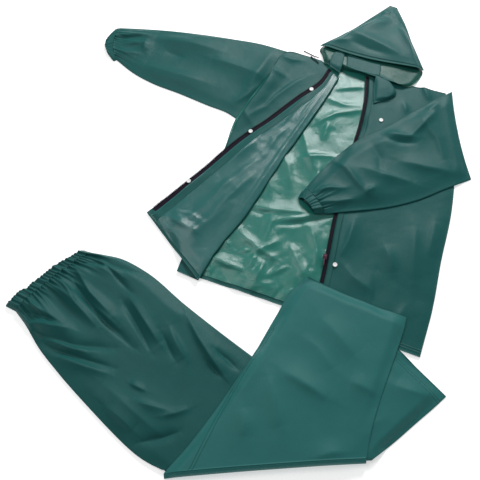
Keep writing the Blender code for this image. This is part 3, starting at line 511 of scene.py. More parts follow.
def softened(values: np.ndarray, passes: int) -> np.ndarray:
    """Return a grid of values with each one moved towards its neighbours' mean."""
    for _ in range(passes):
        wide = np.pad(values, 1, mode="edge")
        near = wide[:-2, 1:-1] + wide[2:, 1:-1] + wide[1:-1, :-2] + wide[1:-1, 2:]
        values = 0.5 * values + 0.125 * near
    return values


def raised(points: np.ndarray, heights: np.ndarray) -> np.ndarray:
    """Return floor points with their heights."""
    return np.concatenate([points, heights[..., None]], axis=-1)


def route_distance(points: np.ndarray, route: tuple) -> tuple[np.ndarray, np.ndarray]:
    """Measure a grid of points against a route.

    Args:
        points: floor points.
        route: the corners of the route.

    Returns:
        Signed distances, which are negative to the route's right, and lengths along it.
    """
    corners = np.array(route, float)
    best = np.full(points.shape[:-1], np.inf)
    side = np.ones(points.shape[:-1])
    along = np.zeros(points.shape[:-1])
    reached = 0.0
    for start, end in zip(corners[:-1], corners[1:]):
        run = end - start
        length = np.linalg.norm(run)
        share = np.clip((points - start) @ run / length**2, 0.0, 1.0)
        gap = points - start - share[..., None] * run
        distance = np.linalg.norm(gap, axis=-1)
        nearer = distance < best
        turn = run[0] * gap[..., 1] - run[1] * gap[..., 0]
        best = np.where(nearer, distance, best)
        side = np.where(nearer, np.where(turn < 0, -1.0, 1.0), side)
        along = np.where(nearer, reached + share * length, along)
        reached += length
    return best * side, along


def relief(points: np.ndarray, folds: tuple) -> np.ndarray:
    """Return the height that folds add at each point.

    Args:
        points: floor points.
        folds: ridges and troughs.

    Returns:
        Heights in millimetres.
    """
    total = np.zeros(points.shape[:-1])
    for fold in folds:
        distance, along = route_distance(points, fold.route)
        length = along.max() + 1e-6
        ends = np.sin(math.pi * np.clip(along / length, 0.04, 0.96)) ** 0.6
        width = fold.width * (1 + fold.lean * np.sign(distance))
        total += fold.height * ends * np.exp(-((np.abs(distance) / width) ** 1.3))
    return total


def crumples(points: np.ndarray, size: float, height: float, seed: int) -> np.ndarray:
    """Return the flat-sided bumps of cloth that was packed tightly.

    Args:
        points: floor points.
        size: how far apart the creases are.
        height: how high the bumps are.
        seed: which of many patterns to use.

    Returns:
        Heights in millimetres.
    """
    chance = np.random.default_rng(seed)
    total = np.zeros(points.shape[:-1])
    for scale, share in ((1.0, 1.0), (0.47, 0.45)):
        turn = chance.uniform(0, math.pi)
        spin = np.array([[math.cos(turn), -math.sin(turn)], [math.sin(turn), math.cos(turn)]])
        turned = points @ spin / (size * scale)
        bend = chance.uniform(0, 2 * math.pi, 4)
        shifted = turned + 0.45 * np.sin(turned[..., ::-1] * 1.7 + bend[:2])
        shifted = shifted + 0.25 * np.sin(turned * 2.9 + bend[2:])
        cell = np.floor(shifted).astype(int)
        fx, fy = np.moveaxis(shifted - cell, -1, 0)
        knots = chance.uniform(-1, 1, (97, 89))
        i, j = cell[..., 0] % 96, cell[..., 1] % 88
        a, b, c, d = knots[i, j], knots[i + 1, j], knots[i, j + 1], knots[i + 1, j + 1]
        lower = a + (b - a) * fx + (c - a) * fy
        upper = d + (c - d) * (1 - fx) + (b - d) * (1 - fy)
        total += share * height * np.where(fx + fy < 1, lower, upper)
    return total


def gather_ridges(across: np.ndarray, along: np.ndarray, gathers: Gathers) -> np.ndarray:
    """Return the heights of pleats that fade away from a gathered edge.

    Args:
        across: shares of the way across the panel.
        along: distances from the gathered edge.
        gathers: the pleats' count, depth, length and pattern.

    Returns:
        Heights in millimetres.
    """
    chance = np.random.default_rng(gathers.seed)
    total = np.zeros(across.shape)
    for k in range(gathers.count):
        place = (k + 0.5 + chance.uniform(-0.3, 0.3)) / gathers.count
        drift = chance.uniform(-0.4, 0.4) / gathers.count
        depth = gathers.depth * chance.uniform(0.5, 1.2)
        length = gathers.length * chance.uniform(0.35, 1.3)
        width = chance.uniform(0.26, 0.4) / gathers.count
        middle = place + drift * along / length
        spread = width * (1 + 0.5 * along / length)
        fade = np.exp(-((along / length) ** 1.4))
        total += depth * fade * np.exp(-(((across - middle) / spread) ** 2))
    return total


class Solid:
    """The form of CAD solids, read by casting rays straight down on them."""

    def __init__(self, *nodes: str) -> None:
        """Gather the faces of the named nodes."""
        places, faces = [], []
        for node in nodes:
            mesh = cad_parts[node].data
            first = len(places)
            places.extend(tuple(v.co) for v in mesh.vertices)
            faces.extend([first + i for i in face.vertices] for face in mesh.polygons)
        self.tree = BVHTree.FromPolygons(places, faces)

    def top(self, points: np.ndarray) -> np.ndarray:
        """Return the height of the solids' top over each floor point, or near it."""
        flat = to_frame(raised(points, np.zeros(points.shape[:-1]))).reshape(-1, 3)
        heights = np.zeros(len(flat))
        down = Vector((0.0, 0.0, -1.0))
        for k, (x, y, _) in enumerate(flat):
            hit = self.tree.ray_cast(Vector((x, y, 1.0)), down)[0]
            hit = hit or self.tree.find_nearest(Vector((x, y, CAD_TOP)))[0]
            heights[k] = hit.z / MM
        return heights.reshape(points.shape[:-1])


CAD_TOP = float(np.array(CAD_BOX).reshape(2, 3)[1, 2])


class Ground:
    """A map of how high the laid cloth reaches, which the next piece is laid over."""

    CELL = 4.0
    REACH = 3
    BLUR = 2

    def __init__(self) -> None:
        """Start with an empty floor."""
        self.corner = np.array([-640.0, 40.0])
        self.heights = np.zeros((340, 370))

    def lay(self, top: np.ndarray) -> None:
        """Raise the map to a grid of top points."""
        flat = top.reshape(-1, 3)
        cells = np.floor((flat[:, :2] - self.corner) / self.CELL).astype(int)
        np.maximum.at(self.heights, (cells[:, 0], cells[:, 1]), flat[:, 2])

    def under(self, points: np.ndarray) -> np.ndarray:
        """Return the height that a piece must keep at floor points to clear what is laid."""
        grown = self.heights
        for axis in (0, 1):
            grown = np.max([np.roll(grown, s, axis) for s in range(-self.REACH, self.REACH + 1)], axis=0)
        for axis in (0, 1):
            grown = np.mean([np.roll(grown, s, axis) for s in range(-self.BLUR, self.BLUR + 1)], axis=0)
        cells = (points - self.corner) / self.CELL - 0.5
        low = np.floor(cells).astype(int)
        fx, fy = np.moveaxis(cells - low, -1, 0)
        i, j = np.moveaxis(low, -1, 0)
        near = grown[i, j] * (1 - fx) * (1 - fy) + grown[i + 1, j] * fx * (1 - fy)
        far = grown[i, j + 1] * (1 - fx) * fy + grown[i + 1, j + 1] * fx * fy
        return near + far

    def at(self, x: float, y: float, radius: float) -> float:
        """Return the highest point laid within a radius of a place."""
        low = np.floor((np.array([x, y]) - radius - self.corner) / self.CELL).astype(int)
        high = np.ceil((np.array([x, y]) + radius - self.corner) / self.CELL).astype(int) + 1
        return float(self.heights[low[0]:high[0], low[1]:high[1]].max())


class Slot(Enum):
    """The record's material slots."""

    MATT = "matt_cloth"
    COATED = "coated_cloth"
    TAPE = "zip_tape"
    CORD = "cord"
    SNAP = "snap"
    SLIDER = "slider"


def node_group(name: str, inputs: dict, outputs: dict) -> tuple:
    """Start a shader node group with named sockets.

    Args:
        name: the group's name.
        inputs: socket names with their types and first values.
        outputs: socket names with their types.

    Returns:
        The group, its input node and its output node.
    """
    group = bpy.data.node_groups.new(name, "ShaderNodeTree")
    for socket, (kind, value) in inputs.items():
        made = group.interface.new_socket(socket, in_out="INPUT", socket_type=kind)
        if value is not None:
            made.default_value = value
    for socket, kind in outputs.items():
        group.interface.new_socket(socket, in_out="OUTPUT", socket_type=kind)
    return group, group.nodes.new("NodeGroupInput"), group.nodes.new("NodeGroupOutput")


def math_node(
    nodes: bpy.types.Nodes, links: bpy.types.NodeLinks, operation: str, *values: object
) -> bpy.types.NodeSocket:
    """Add a Math node fed by sockets or numbers, and return its output."""
    node = nodes.new("ShaderNodeMath")
    node.operation = operation
    for socket, value in zip(node.inputs, values):
        if isinstance(value, bpy.types.NodeSocket):
            links.new(value, socket)
        else:
            socket.default_value = value
    return node.outputs[0]


def weave_group() -> bpy.types.NodeTree:
    """Return the group that gives the height of a plain weave over the cloth's own map."""
    group, given, wanted = node_group(
        "Plain weave",
        {"Map": ("NodeSocketVector", None), "Thread": ("NodeSocketFloat", 0.0006)},
        {"Height": "NodeSocketFloat"},
    )
    nodes, links = group.nodes, group.links
    apart = nodes.new("ShaderNodeSeparateXYZ")
    links.new(given.outputs["Map"], apart.inputs[0])
    turns = math_node(nodes, links, "DIVIDE", math.pi, given.outputs["Thread"])
    warp = math_node(nodes, links, "SINE", math_node(nodes, links, "MULTIPLY", apart.outputs[0], turns))
    weft = math_node(nodes, links, "SINE", math_node(nodes, links, "MULTIPLY", apart.outputs[1], turns))
    links.new(math_node(nodes, links, "MULTIPLY", warp, weft), wanted.inputs["Height"])
    return group


def rumple_group() -> bpy.types.NodeTree:
    """Return the group that gives the small creases of cloth and a soft change of shade."""
    group, given, wanted = node_group(
        "Small creases",
        {
            "Place": ("NodeSocketVector", None),
            "Spacing": ("NodeSocketFloat", 30.0),
            "Sharpness": ("NodeSocketFloat", 0.5),
        },
        {"Height": "NodeSocketFloat", "Shade": "NodeSocketFloat"},
    )
    nodes, links = group.nodes, group.links
    warp = nodes.new("ShaderNodeTexNoise")
    warp.inputs["Scale"].default_value = 14.0
    links.new(given.outputs["Place"], warp.inputs["Vector"])
    push = nodes.new("ShaderNodeVectorMath")
    push.operation = "SCALE"
    push.inputs["Scale"].default_value = 0.05
    links.new(warp.outputs["Color"], push.inputs[0])
    moved = nodes.new("ShaderNodeVectorMath")
    moved.operation = "ADD"
    links.new(given.outputs["Place"], moved.inputs[0])
    links.new(push.outputs[0], moved.inputs[1])
    creases = nodes.new("ShaderNodeTexVoronoi")
    creases.feature = "DISTANCE_TO_EDGE"
    links.new(moved.outputs[0], creases.inputs["Vector"])
    links.new(given.outputs["Spacing"], creases.inputs["Scale"])
    soft = nodes.new("ShaderNodeTexNoise")
    soft.inputs["Detail"].default_value = 3.0
    links.new(given.outputs["Place"], soft.inputs["Vector"])
    links.new(given.outputs["Spacing"], soft.inputs["Scale"])
    ridge = math_node(nodes, links, "MINIMUM", creases.outputs["Distance"], 0.35)
    sharp = math_node(nodes, links, "MULTIPLY", ridge, given.outputs["Sharpness"])
    links.new(math_node(nodes, links, "ADD", sharp, soft.outputs["Fac"]), wanted.inputs["Height"])
    links.new(soft.outputs["Fac"], wanted.inputs["Shade"])
    return group


def stitch_group() -> bpy.types.NodeTree:
    """Return the group that marks two rows of stitches beside a seam, from the seam map."""
    group, given, wanted = node_group(
        "Stitches",
        {
            "Seam": ("NodeSocketVector", None),
            "Apart": ("NodeSocketFloat", 0.003),
            "Pitch": ("NodeSocketFloat", 0.003),
        },
        {"Mask": "NodeSocketFloat", "Groove": "NodeSocketFloat"},
    )
    nodes, links = group.nodes, group.links
    apart = nodes.new("ShaderNodeSeparateXYZ")
    links.new(given.outputs["Seam"], apart.inputs[0])
    away = math_node(nodes, links, "ABSOLUTE", apart.outputs[1])
    beyond = math_node(nodes, links, "SUBTRACT", away, given.outputs["Apart"])
    off = math_node(nodes, links, "ABSOLUTE", beyond)
    near = math_node(nodes, links, "LESS_THAN", off, 0.0005)
    count = math_node(nodes, links, "DIVIDE", apart.outputs[0], given.outputs["Pitch"])
    part = math_node(nodes, links, "FRACT", count)
    dash = math_node(nodes, links, "LESS_THAN", part, 0.7)
    links.new(math_node(nodes, links, "MULTIPLY", near, dash), wanted.inputs["Mask"])
    closeness = math_node(nodes, links, "DIVIDE", off, 0.0022)
    links.new(math_node(nodes, links, "MINIMUM", closeness, 1.0), wanted.inputs["Groove"])
    return group


@dataclass(frozen=True)
class ClothFinish:
    """Woven nylon: its colours, gloss and small relief."""

    name: str
    slot: Slot
    colour: tuple
    pale: tuple
    roughness: float
    sheen: float
    creasing: float
    spacing: float
    sharpness: float
    specular: float = 0.16

    def material(self) -> bpy.types.Material:
        """Return the Blender material, made once."""
        made = bpy.data.materials.get(self.name)
        if made is not None:
            return made
        made = bpy.data.materials.new(self.name)
        made.use_nodes = True
        nodes, links = made.node_tree.nodes, made.node_tree.links
        shader = nodes["Principled BSDF"]
        shader.inputs["Roughness"].default_value = self.roughness
        shader.inputs["Sheen Weight"].default_value = self.sheen
        shader.inputs["Sheen Roughness"].default_value = 0.4
        shader.inputs["Specular IOR Level"].default_value = self.specular
        place = nodes.new("ShaderNodeTexCoord")
        cloth_map = nodes.new("ShaderNodeUVMap")
        cloth_map.uv_map = "cloth"
        seam_map = nodes.new("ShaderNodeUVMap")
        seam_map.uv_map = "seam"
        weave = nodes.new("ShaderNodeGroup")
        weave.node_tree = GROUPS["weave"]
        links.new(cloth_map.outputs[0], weave.inputs["Map"])
        small = nodes.new("ShaderNodeGroup")
        small.node_tree = GROUPS["rumple"]
        small.inputs["Spacing"].default_value = self.spacing
        small.inputs["Sharpness"].default_value = self.sharpness
        links.new(place.outputs["Object"], small.inputs["Place"])
        stitches = nodes.new("ShaderNodeGroup")
        stitches.node_tree = GROUPS["stitch"]
        links.new(seam_map.outputs[0], stitches.inputs["Seam"])
        shade = nodes.new("ShaderNodeMix")
        shade.data_type = "RGBA"
        shade.inputs["A"].default_value = (*self.colour, 1.0)
        shade.inputs["B"].default_value = (*self.pale, 1.0)
        links.new(small.outputs["Shade"], shade.inputs["Factor"])
        thread = nodes.new("ShaderNodeMix")
        thread.data_type = "RGBA"
        thread.inputs["B"].default_value = (*(c * 0.45 for c in self.colour), 1.0)
        links.new(stitches.outputs["Mask"], thread.inputs["Factor"])
        links.new(shade.outputs["Result"], thread.inputs["A"])
        links.new(thread.outputs["Result"], shader.inputs["Base Color"])
        normal = None
        reliefs = (
            (small.outputs["Height"], self.creasing),
            (stitches.outputs["Groove"], 0.0006),
            (weave.outputs["Height"], 0.00004),
        )
        for height, distance in reliefs:
            bump = nodes.new("ShaderNodeBump")
            bump.inputs["Distance"].default_value = distance
            links.new(height, bump.inputs["Height"])
            if normal is not None:
                links.new(normal, bump.inputs["Normal"])
            normal = bump.outputs["Normal"]
        links.new(normal, shader.inputs["Normal"])
        return made


@dataclass(frozen=True)
class PlainFinish:
    """A hard or narrow material: its colour, gloss and grain."""

    name: str
    slot: Slot
    colour: tuple
    roughness: float
    metallic: float
    grain: float
    grain_scale: float
    specular: float

    def material(self) -> bpy.types.Material:
        """Return the Blender material, made once."""
        made = bpy.data.materials.get(self.name)
        if made is not None:
            return made
        made = bpy.data.materials.new(self.name)
        made.use_nodes = True
        nodes, links = made.node_tree.nodes, made.node_tree.links
        shader = nodes["Principled BSDF"]
        shader.inputs["Metallic"].default_value = self.metallic
        shader.inputs["Specular IOR Level"].default_value = self.specular
        place = nodes.new("ShaderNodeTexCoord")
        noise = nodes.new("ShaderNodeTexNoise")
        noise.inputs["Scale"].default_value = self.grain_scale
        links.new(place.outputs["Object"], noise.inputs["Vector"])
        shade = nodes.new("ShaderNodeMix")
        shade.data_type = "RGBA"
        shade.inputs["A"].default_value = (*self.colour, 1.0)
        shade.inputs["B"].default_value = (*(min(1.0, c * 1.35) for c in self.colour), 1.0)
        links.new(noise.outputs["Fac"], shade.inputs["Factor"])
        links.new(shade.outputs["Result"], shader.inputs["Base Color"])
        rough = math_node(nodes, links, "MULTIPLY_ADD", noise.outputs["Fac"], 0.15, self.roughness - 0.07)
        links.new(rough, shader.inputs["Roughness"])
        bump = nodes.new("ShaderNodeBump")
        bump.inputs["Distance"].default_value = self.grain
        links.new(noise.outputs["Fac"], bump.inputs["Height"])
        links.new(bump.outputs["Normal"], shader.inputs["Normal"])
        return made


GROUPS = {"weave": weave_group(), "rumple": rumple_group(), "stitch": stitch_group()}

OUTER = ClothFinish(
    "matt outer nylon", Slot.MATT, (0.010, 0.088, 0.084), (0.013, 0.104, 0.099),
    0.42, 0.0, 0.0012, 22.0, 0.2
)
# The same outer nylon as the thighs, with a paler colour for the folded shins: painted light on these flat
# top panels.
LIT_SHIN_NYLON = ClothFinish(
    "matt nylon painted lighter for the shins", Slot.MATT, (0.022, 0.142, 0.136), (0.026, 0.160, 0.153),
    0.45, 0.0, 0.0010, 20.0, 0.2
)
TRIM_CLOTH = ClothFinish(
    "matt trim nylon", Slot.MATT, (0.011, 0.082, 0.076), (0.014, 0.100, 0.092),
    0.45, 0.0, 0.0006, 40.0, 0.2
)
# The same coated side as the back's lining, painted darker for the hood's under side: painted shade under
# the hood's top side.
SHADED_HOOD_LINING = ClothFinish(
    "hood lining painted darker", Slot.COATED, (0.009, 0.080, 0.062), (0.012, 0.100, 0.080),
    0.35, 0.0, 0.0012, 30.0, 0.4, 0.3
)
LINING = ClothFinish(
    "coated green side", Slot.COATED, (0.016, 0.160, 0.128), (0.022, 0.200, 0.160),
    0.22, 0.0, 0.0012, 26.0, 0.5, 0.55
)
# The same coated side as the back's lining, painted darker and bluer for the turned front: painted shade
# with a painted bluish reflection.
SHADED_TURNED_LINING = ClothFinish(
    "coated side painted darker and bluer when turned", Slot.COATED, (0.014, 0.110, 0.105), (0.020, 0.140, 0.134),
    0.24, 0.0, 0.0010, 24.0, 0.5, 0.5
)
TAPE = PlainFinish("woven zip tape", Slot.TAPE, (0.010, 0.007, 0.014), 0.7, 0.0, 0.0003, 900.0, 0.1)
TEETH = PlainFinish("moulded zip teeth", Slot.TAPE, (0.010, 0.009, 0.014), 0.45, 0.0, 0.0001, 400.0, 0.2)
CORD = PlainFinish("braided cord", Slot.CORD, (0.012, 0.012, 0.020), 0.6, 0.0, 0.0004, 1200.0, 0.2)
SNAP_PLASTIC = PlainFinish("white press stud", Slot.SNAP, (0.80, 0.82, 0.80), 0.3, 0.0, 0.0001, 300.0, 0.5)
SLIDER_METAL = PlainFinish(
    "dark zip metal", Slot.SLIDER, (0.10, 0.045, 0.065), 0.35, 0.85, 0.0001, 500.0, 0.5
)


def quads(index: np.ndarray) -> np.ndarray:
    """Return the four corners of each cell of a grid of vertex numbers."""
    cells = np.stack([index[:-1, :-1], index[1:, :-1], index[1:, 1:], index[:-1, 1:]], axis=-1)
    return cells.reshape(-1, 4)


def shell(
    name: str,
    skin: np.ndarray,
    thickness: float,
    finishes: tuple,
    ring: bool = False,
    seam: np.ndarray | None = None,
) -> bpy.types.Object:
    """Make a thin closed wall of cloth under a grid of points.

    Args:
        name: the piece's name.
        skin: the outer side, in floor millimetres, whose rows are rings where ring is set.
        thickness: the cloth's thickness.
        finishes: the finish of the outer side, and of the inner side.
        ring: whether each row closes on itself.
        seam: signed distances from a seam and lengths along it, for the stitches.

    Returns:
        The new object.
    """
    closed = np.concatenate([skin, skin[:, :1]], axis=1) if ring else skin
    wide = np.concatenate([skin[:, -1:], closed, skin[:, 1:2]], axis=1) if ring else skin
    side = np.gradient(wide, axis=1)[:, 1:-1] if ring else np.gradient(wide, axis=1)
    normal = np.cross(side, np.gradient(closed, axis=0))
    normal = normal / (np.linalg.norm(normal, axis=-1, keepdims=True) + 1e-9)
    inner = closed - normal * thickness
    rows, columns = closed.shape[:2]
    count = rows * columns
    outer_index = np.arange(count).reshape(rows, columns)
    if ring:
        outer_index[:, -1] = outer_index[:, 0]
    inner_index = outer_index + count
    faces = [quads(outer_index), quads(inner_index)[:, ::-1]]
    corner_numbers = np.arange(count).reshape(rows, columns)
    corners = [quads(corner_numbers), quads(corner_numbers)[:, ::-1]]
    rims = [(slice(None), 0), (slice(None), -1)] if not ring else []
    rims += [(0, slice(None)), (-1, slice(None))]
    for number, rim in enumerate(rims):
        flip = (number % 2 == 0) != (number >= len(rims) - 2)
        first, second, flat = outer_index[rim], inner_index[rim], corner_numbers[rim]
        strip = np.stack([first[:-1], second[:-1], second[1:], first[1:]], axis=-1)
        flats = np.stack([flat[:-1], flat[:-1], flat[1:], flat[1:]], axis=-1)
        faces.append(strip[:, ::-1] if flip else strip)
        corners.append(flats[:, ::-1] if flip else flats)
    all_faces, all_corners = np.concatenate(faces), np.concatenate(corners)
    places = np.concatenate([closed.reshape(-1, 3), inner.reshape(-1, 3)])
    used, compact = np.unique(all_faces, return_inverse=True)
    mesh = bpy.data.meshes.new(name)
    mesh.from_pydata(to_frame(places[used]).tolist(), [], compact.reshape(-1, 4).tolist())
    mesh.polygons.foreach_set("use_smooth", np.ones(len(all_faces), bool))
    kinds = np.zeros(len(all_faces), np.int32)
    inner_first = len(faces[0])
    kinds[inner_first:inner_first + len(faces[1])] = 1
    mesh.polygons.foreach_set("material_index", kinds)
    for finish in finishes:
        mesh.materials.append(finish.material())
    flat_map = np.stack([lengths_across(closed), lengths_along(closed)], axis=-1).reshape(-1, 2) * MM
    apply_map(mesh, "cloth", flat_map[all_corners])
    if seam is None:
        seam = np.full((rows, columns, 2), FAR_FROM_SEAM)
    elif ring:
        seam = np.concatenate([seam, seam[:, :1]], axis=1)
    apply_map(mesh, "seam", seam.reshape(-1, 2)[all_corners] * MM)
    made = bpy.data.objects.new(name, mesh)
    bpy.context.scene.collection.objects.link(made)
    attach(made, SUIT)
    return made


def apply_map(mesh: bpy.types.Mesh, name: str, values: np.ndarray) -> None:
    """Give a mesh a UV map from values for each face's corners."""
    layer = mesh.uv_layers.new(name=name)
    layer.data.foreach_set("uv", values.reshape(-1).astype(np.float32))


def seam_along(points: np.ndarray, route: tuple) -> np.ndarray:
    """Return the seam map of a grid of floor points: lengths along a route, and distances."""
    distance, along = route_distance(points, route)
    return np.stack([along, distance], axis=-1)


def seam_at_row(points: np.ndarray, inset: float, from_end: bool = False) -> np.ndarray:
    """Return the seam map of a line of stitches at a distance from a grid's first or last row."""
    along = lengths_along(points)
    distance = along[-1:] - along if from_end else along
    return np.stack([lengths_across(points), distance - inset], axis=-1)


@dataclass(frozen=True)
class Drop:
    """Over what distance a panel comes down to what lies under it, at each of its sides."""

    start: float = 0.0
    end: float = 0.0
    left: float = 0.0
    right: float = 0.0

    def weight(self, points: np.ndarray) -> np.ndarray:
        """Return 0 at the sides that come down, and 1 away from them."""
        along, across = lengths_along(points), lengths_across(points)
        total = np.ones(points.shape[:-1])
        sides = (
            (self.start, along),
            (self.end, along[-1:] - along),
            (self.left, across),
            (self.right, across[:, -1:] - across),
        )
        for reach, distance in sides:
            if reach > 0:
                total = total * smooth_step(distance / reach)
        return total


@dataclass
class Panel:
    """One flat piece of cloth, laid over what is under it."""

    name: str
    nodes: tuple
    table: tuple
    finish: ClothFinish
    cut: tuple
    folds: tuple = ()
    drop: Drop = Drop()
    crumple: tuple = ()
    inner_finish: ClothFinish | None = None
    hem: float = 0.0
    hem_last: bool = False
    held: str = "laid"
    calm: int = 24

    def grid(self) -> np.ndarray:
        """Return the fine grid of floor points over the panel."""
        rough = through(self.table, np.linspace(0, 1, 9))
        middles = (rough[:, 0:2] + rough[:, 2:4]) / 2
        length = np.linalg.norm(np.diff(middles, axis=0), axis=1).sum()
        width = np.linalg.norm(rough[:, 2:4] - rough[:, 0:2], axis=1).max()
        rows = through(self.table, np.linspace(0, 1, int(length / FINE) + 2))
        across = np.linspace(0, 1, int(width / FINE) + 2)
        return lines_between(rows[:, 0:2], rows[:, 2:4], rows[:, 4], across)

    def laid(self, ground: Ground, points: np.ndarray) -> np.ndarray:
        """Return the panel's upper side, laid over the ground.

        Args:
            ground: what is laid already.
            points: the panel's floor points.

        Returns:
            A grid of points with heights.
        """
        floor = ground.under(points) + GAP + CLOTH
        base = softened(Solid(*self.nodes).top(points), self.calm)
        weight = self.drop.weight(points)
        lift = np.maximum(base - floor, 0.0) * weight + relief(points, self.folds)
        for size, height, seed, reach in self.crumple:
            near = 0.2 + 0.8 * smooth_step(1 - self.from_hem(points) / reach)
            lift = lift + (crumples(points, size, height, seed) + height * 0.6) * near
        height = softened(floor + np.maximum(lift, 0.0), 1)
        return raised(points, np.maximum(height, floor))

    def from_hem(self, points: np.ndarray) -> np.ndarray:
        """Return the distances from the panel's hem, which is its last row where hem_last is set."""
        along = lengths_along(points)
        return along[-1:] - along if self.hem_last else along

    def build(self, ground: Ground) -> np.ndarray:
        """Lay the panel and make its mesh. Return its upper side."""
        points = self.grid()
        skin = self.laid(ground, points)
        seam = seam_at_row(points, self.hem) if self.hem else None
        made = shell(self.name, skin, CLOTH, (self.finish, self.inner_finish or self.finish), seam=seam)
        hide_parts(*self.nodes)
        ground.lay(skin)
        LOG.info("%s laid over %s", self.name, ", ".join(self.nodes))
        return skin


@dataclass
class Tube:
    """A sleeve, leg or band: a flattened tube of cloth laid over what is under it."""

    name: str
    nodes: tuple
    table: tuple
    finish: ClothFinish
    cut: tuple
    folds: tuple = ()
    gathers: tuple = ()
    drop: Drop = Drop(left=34.0, right=34.0)
    side_depth: float = 2.6
    bulge: float = 1.2
    ruffle: float = 0.0
    seam_route: tuple = ()
    hem: float = 0.0
    held: str = "laid"
    fine: float = FINE

    def grid(self) -> np.ndarray:
        """Return the fine grid of floor points over the tube, closest together at its sides."""
        rough = through(self.table, np.linspace(0, 1, 9))
        middles = (rough[:, 0:2] + rough[:, 2:4]) / 2
        length = np.linalg.norm(np.diff(middles, axis=0), axis=1).sum()
        width = np.linalg.norm(rough[:, 2:4] - rough[:, 0:2], axis=1).max()
        step = min(self.fine, length / 10)
        rows = through(self.table, np.linspace(0, 1, int(length / step) + 2))
        starts, ends = rows[:, 0:2], rows[:, 2:4]
        run = ends - starts
        wide = np.linalg.norm(run, axis=1, keepdims=True)
        starts = starts - run / wide * self.bulge
        ends = ends + run / wide * self.bulge
        wide = wide + 2 * self.bulge
        fine = self.fine if not self.ruffle else self.fine / 2
        near = np.array([0.0, 0.25, 0.8, 1.6, 2.8, 4.6]) / wide
        even = np.linspace(0, 1, int(width / fine))[None, 1:-1]
        middle = near[:, -1:] + (1 - 2 * near[:, -1:]) * even
        across = np.concatenate([near, middle, 1 - near[:, ::-1]], axis=1)
        return lines_between(starts, ends, rows[:, 4], across)

    def build(self, ground: Ground) -> np.ndarray:
        """Lay the tube and make its mesh. Return its upper side."""
        points = self.grid()
        along, across = lengths_along(points), lengths_across(points)
        width = across[:, -1:]
        aside = np.minimum(across, width - across)
        floor = ground.under(points) + GAP
        base = softened(Solid(*self.nodes).top(points), 20)
        weight = self.drop.weight(points)
        inside = smooth_step(aside / 9.0)
        depth = self.side_depth + np.maximum(base - floor - self.side_depth, 0.0) * weight
        depth = depth + relief(points, self.folds) * inside
        depth = np.maximum(depth, self.side_depth * 0.8)
        for gathers, from_end in self.gathers:
            reach = along[-1:] - along if from_end else along
            depth = depth + gather_ridges(across / width, reach, gathers) * (0.25 + 0.75 * inside)
        rounding = np.sqrt(1 - (1 - np.clip(aside / 2.8, 0.0, 1.0)) ** 2)
        middle = floor + self.side_depth / 2
        top = middle + (floor + depth - middle) * rounding
        bottom = middle - (middle - floor) * rounding
        if self.ruffle:
            points = self.ruffled(points, across / width, along)
        count = points.shape[1]
        kept = sorted({*range(5), *range(5, count - 5, 3), *range(count - 5, count)})
        ring = np.concatenate([raised(points, bottom)[:, kept], raised(points, top)[:, -2:0:-1]], axis=1)
        made = shell(self.name, ring, CLOTH, (self.finish, self.finish), ring=True, seam=self.seams(ring))
        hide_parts(*self.nodes)
        LOG.info("%s laid over %s", self.name, ", ".join(self.nodes))
        return raised(points, top)

    def ruffled(self, points: np.ndarray, share: np.ndarray, along: np.ndarray) -> np.ndarray:
        """Return the points with the first row moved out and in as gathered cloth is."""
        chance = np.random.default_rng(len(self.name))
        count = 14
        knots = chance.uniform(-1, 1, count + 1)
        wave = np.interp(share * count, np.arange(count + 1), knots)
        fade = 1 - smooth_step(along / (along[-1:] * 0.8))
        direction = points[1:2] - points[0:1]
        direction = direction / np.linalg.norm(direction, axis=-1, keepdims=True)
        return points + direction * (wave * fade * self.ruffle)[..., None]

    def seams(self, ring: np.ndarray) -> np.ndarray | None:
        """Return the seam map of the tube, along its seam or its hem."""
        if self.seam_route:
            return seam_along(ring[..., :2], self.seam_route)
        if self.hem:
            return seam_at_row(ring[..., :2], self.hem, from_end=True)
        return None


def trim(name: str, node: str, part: np.ndarray, finish: ClothFinish | PlainFinish) -> np.ndarray:
    """Make a narrow strip of cloth that lies on part of a panel.

    Args:
        name: the strip's name.
        node: the CAD node that it stands for.
        part: the panel's own points under the strip.
        finish: the strip's finish.

    Returns:
        The strip's upper side.
    """
    skin = part + np.array([0.0, 0.0, GAP + TRIM])
    made = shell(name, skin, TRIM, (finish, finish))
    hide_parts(node)
    return skin


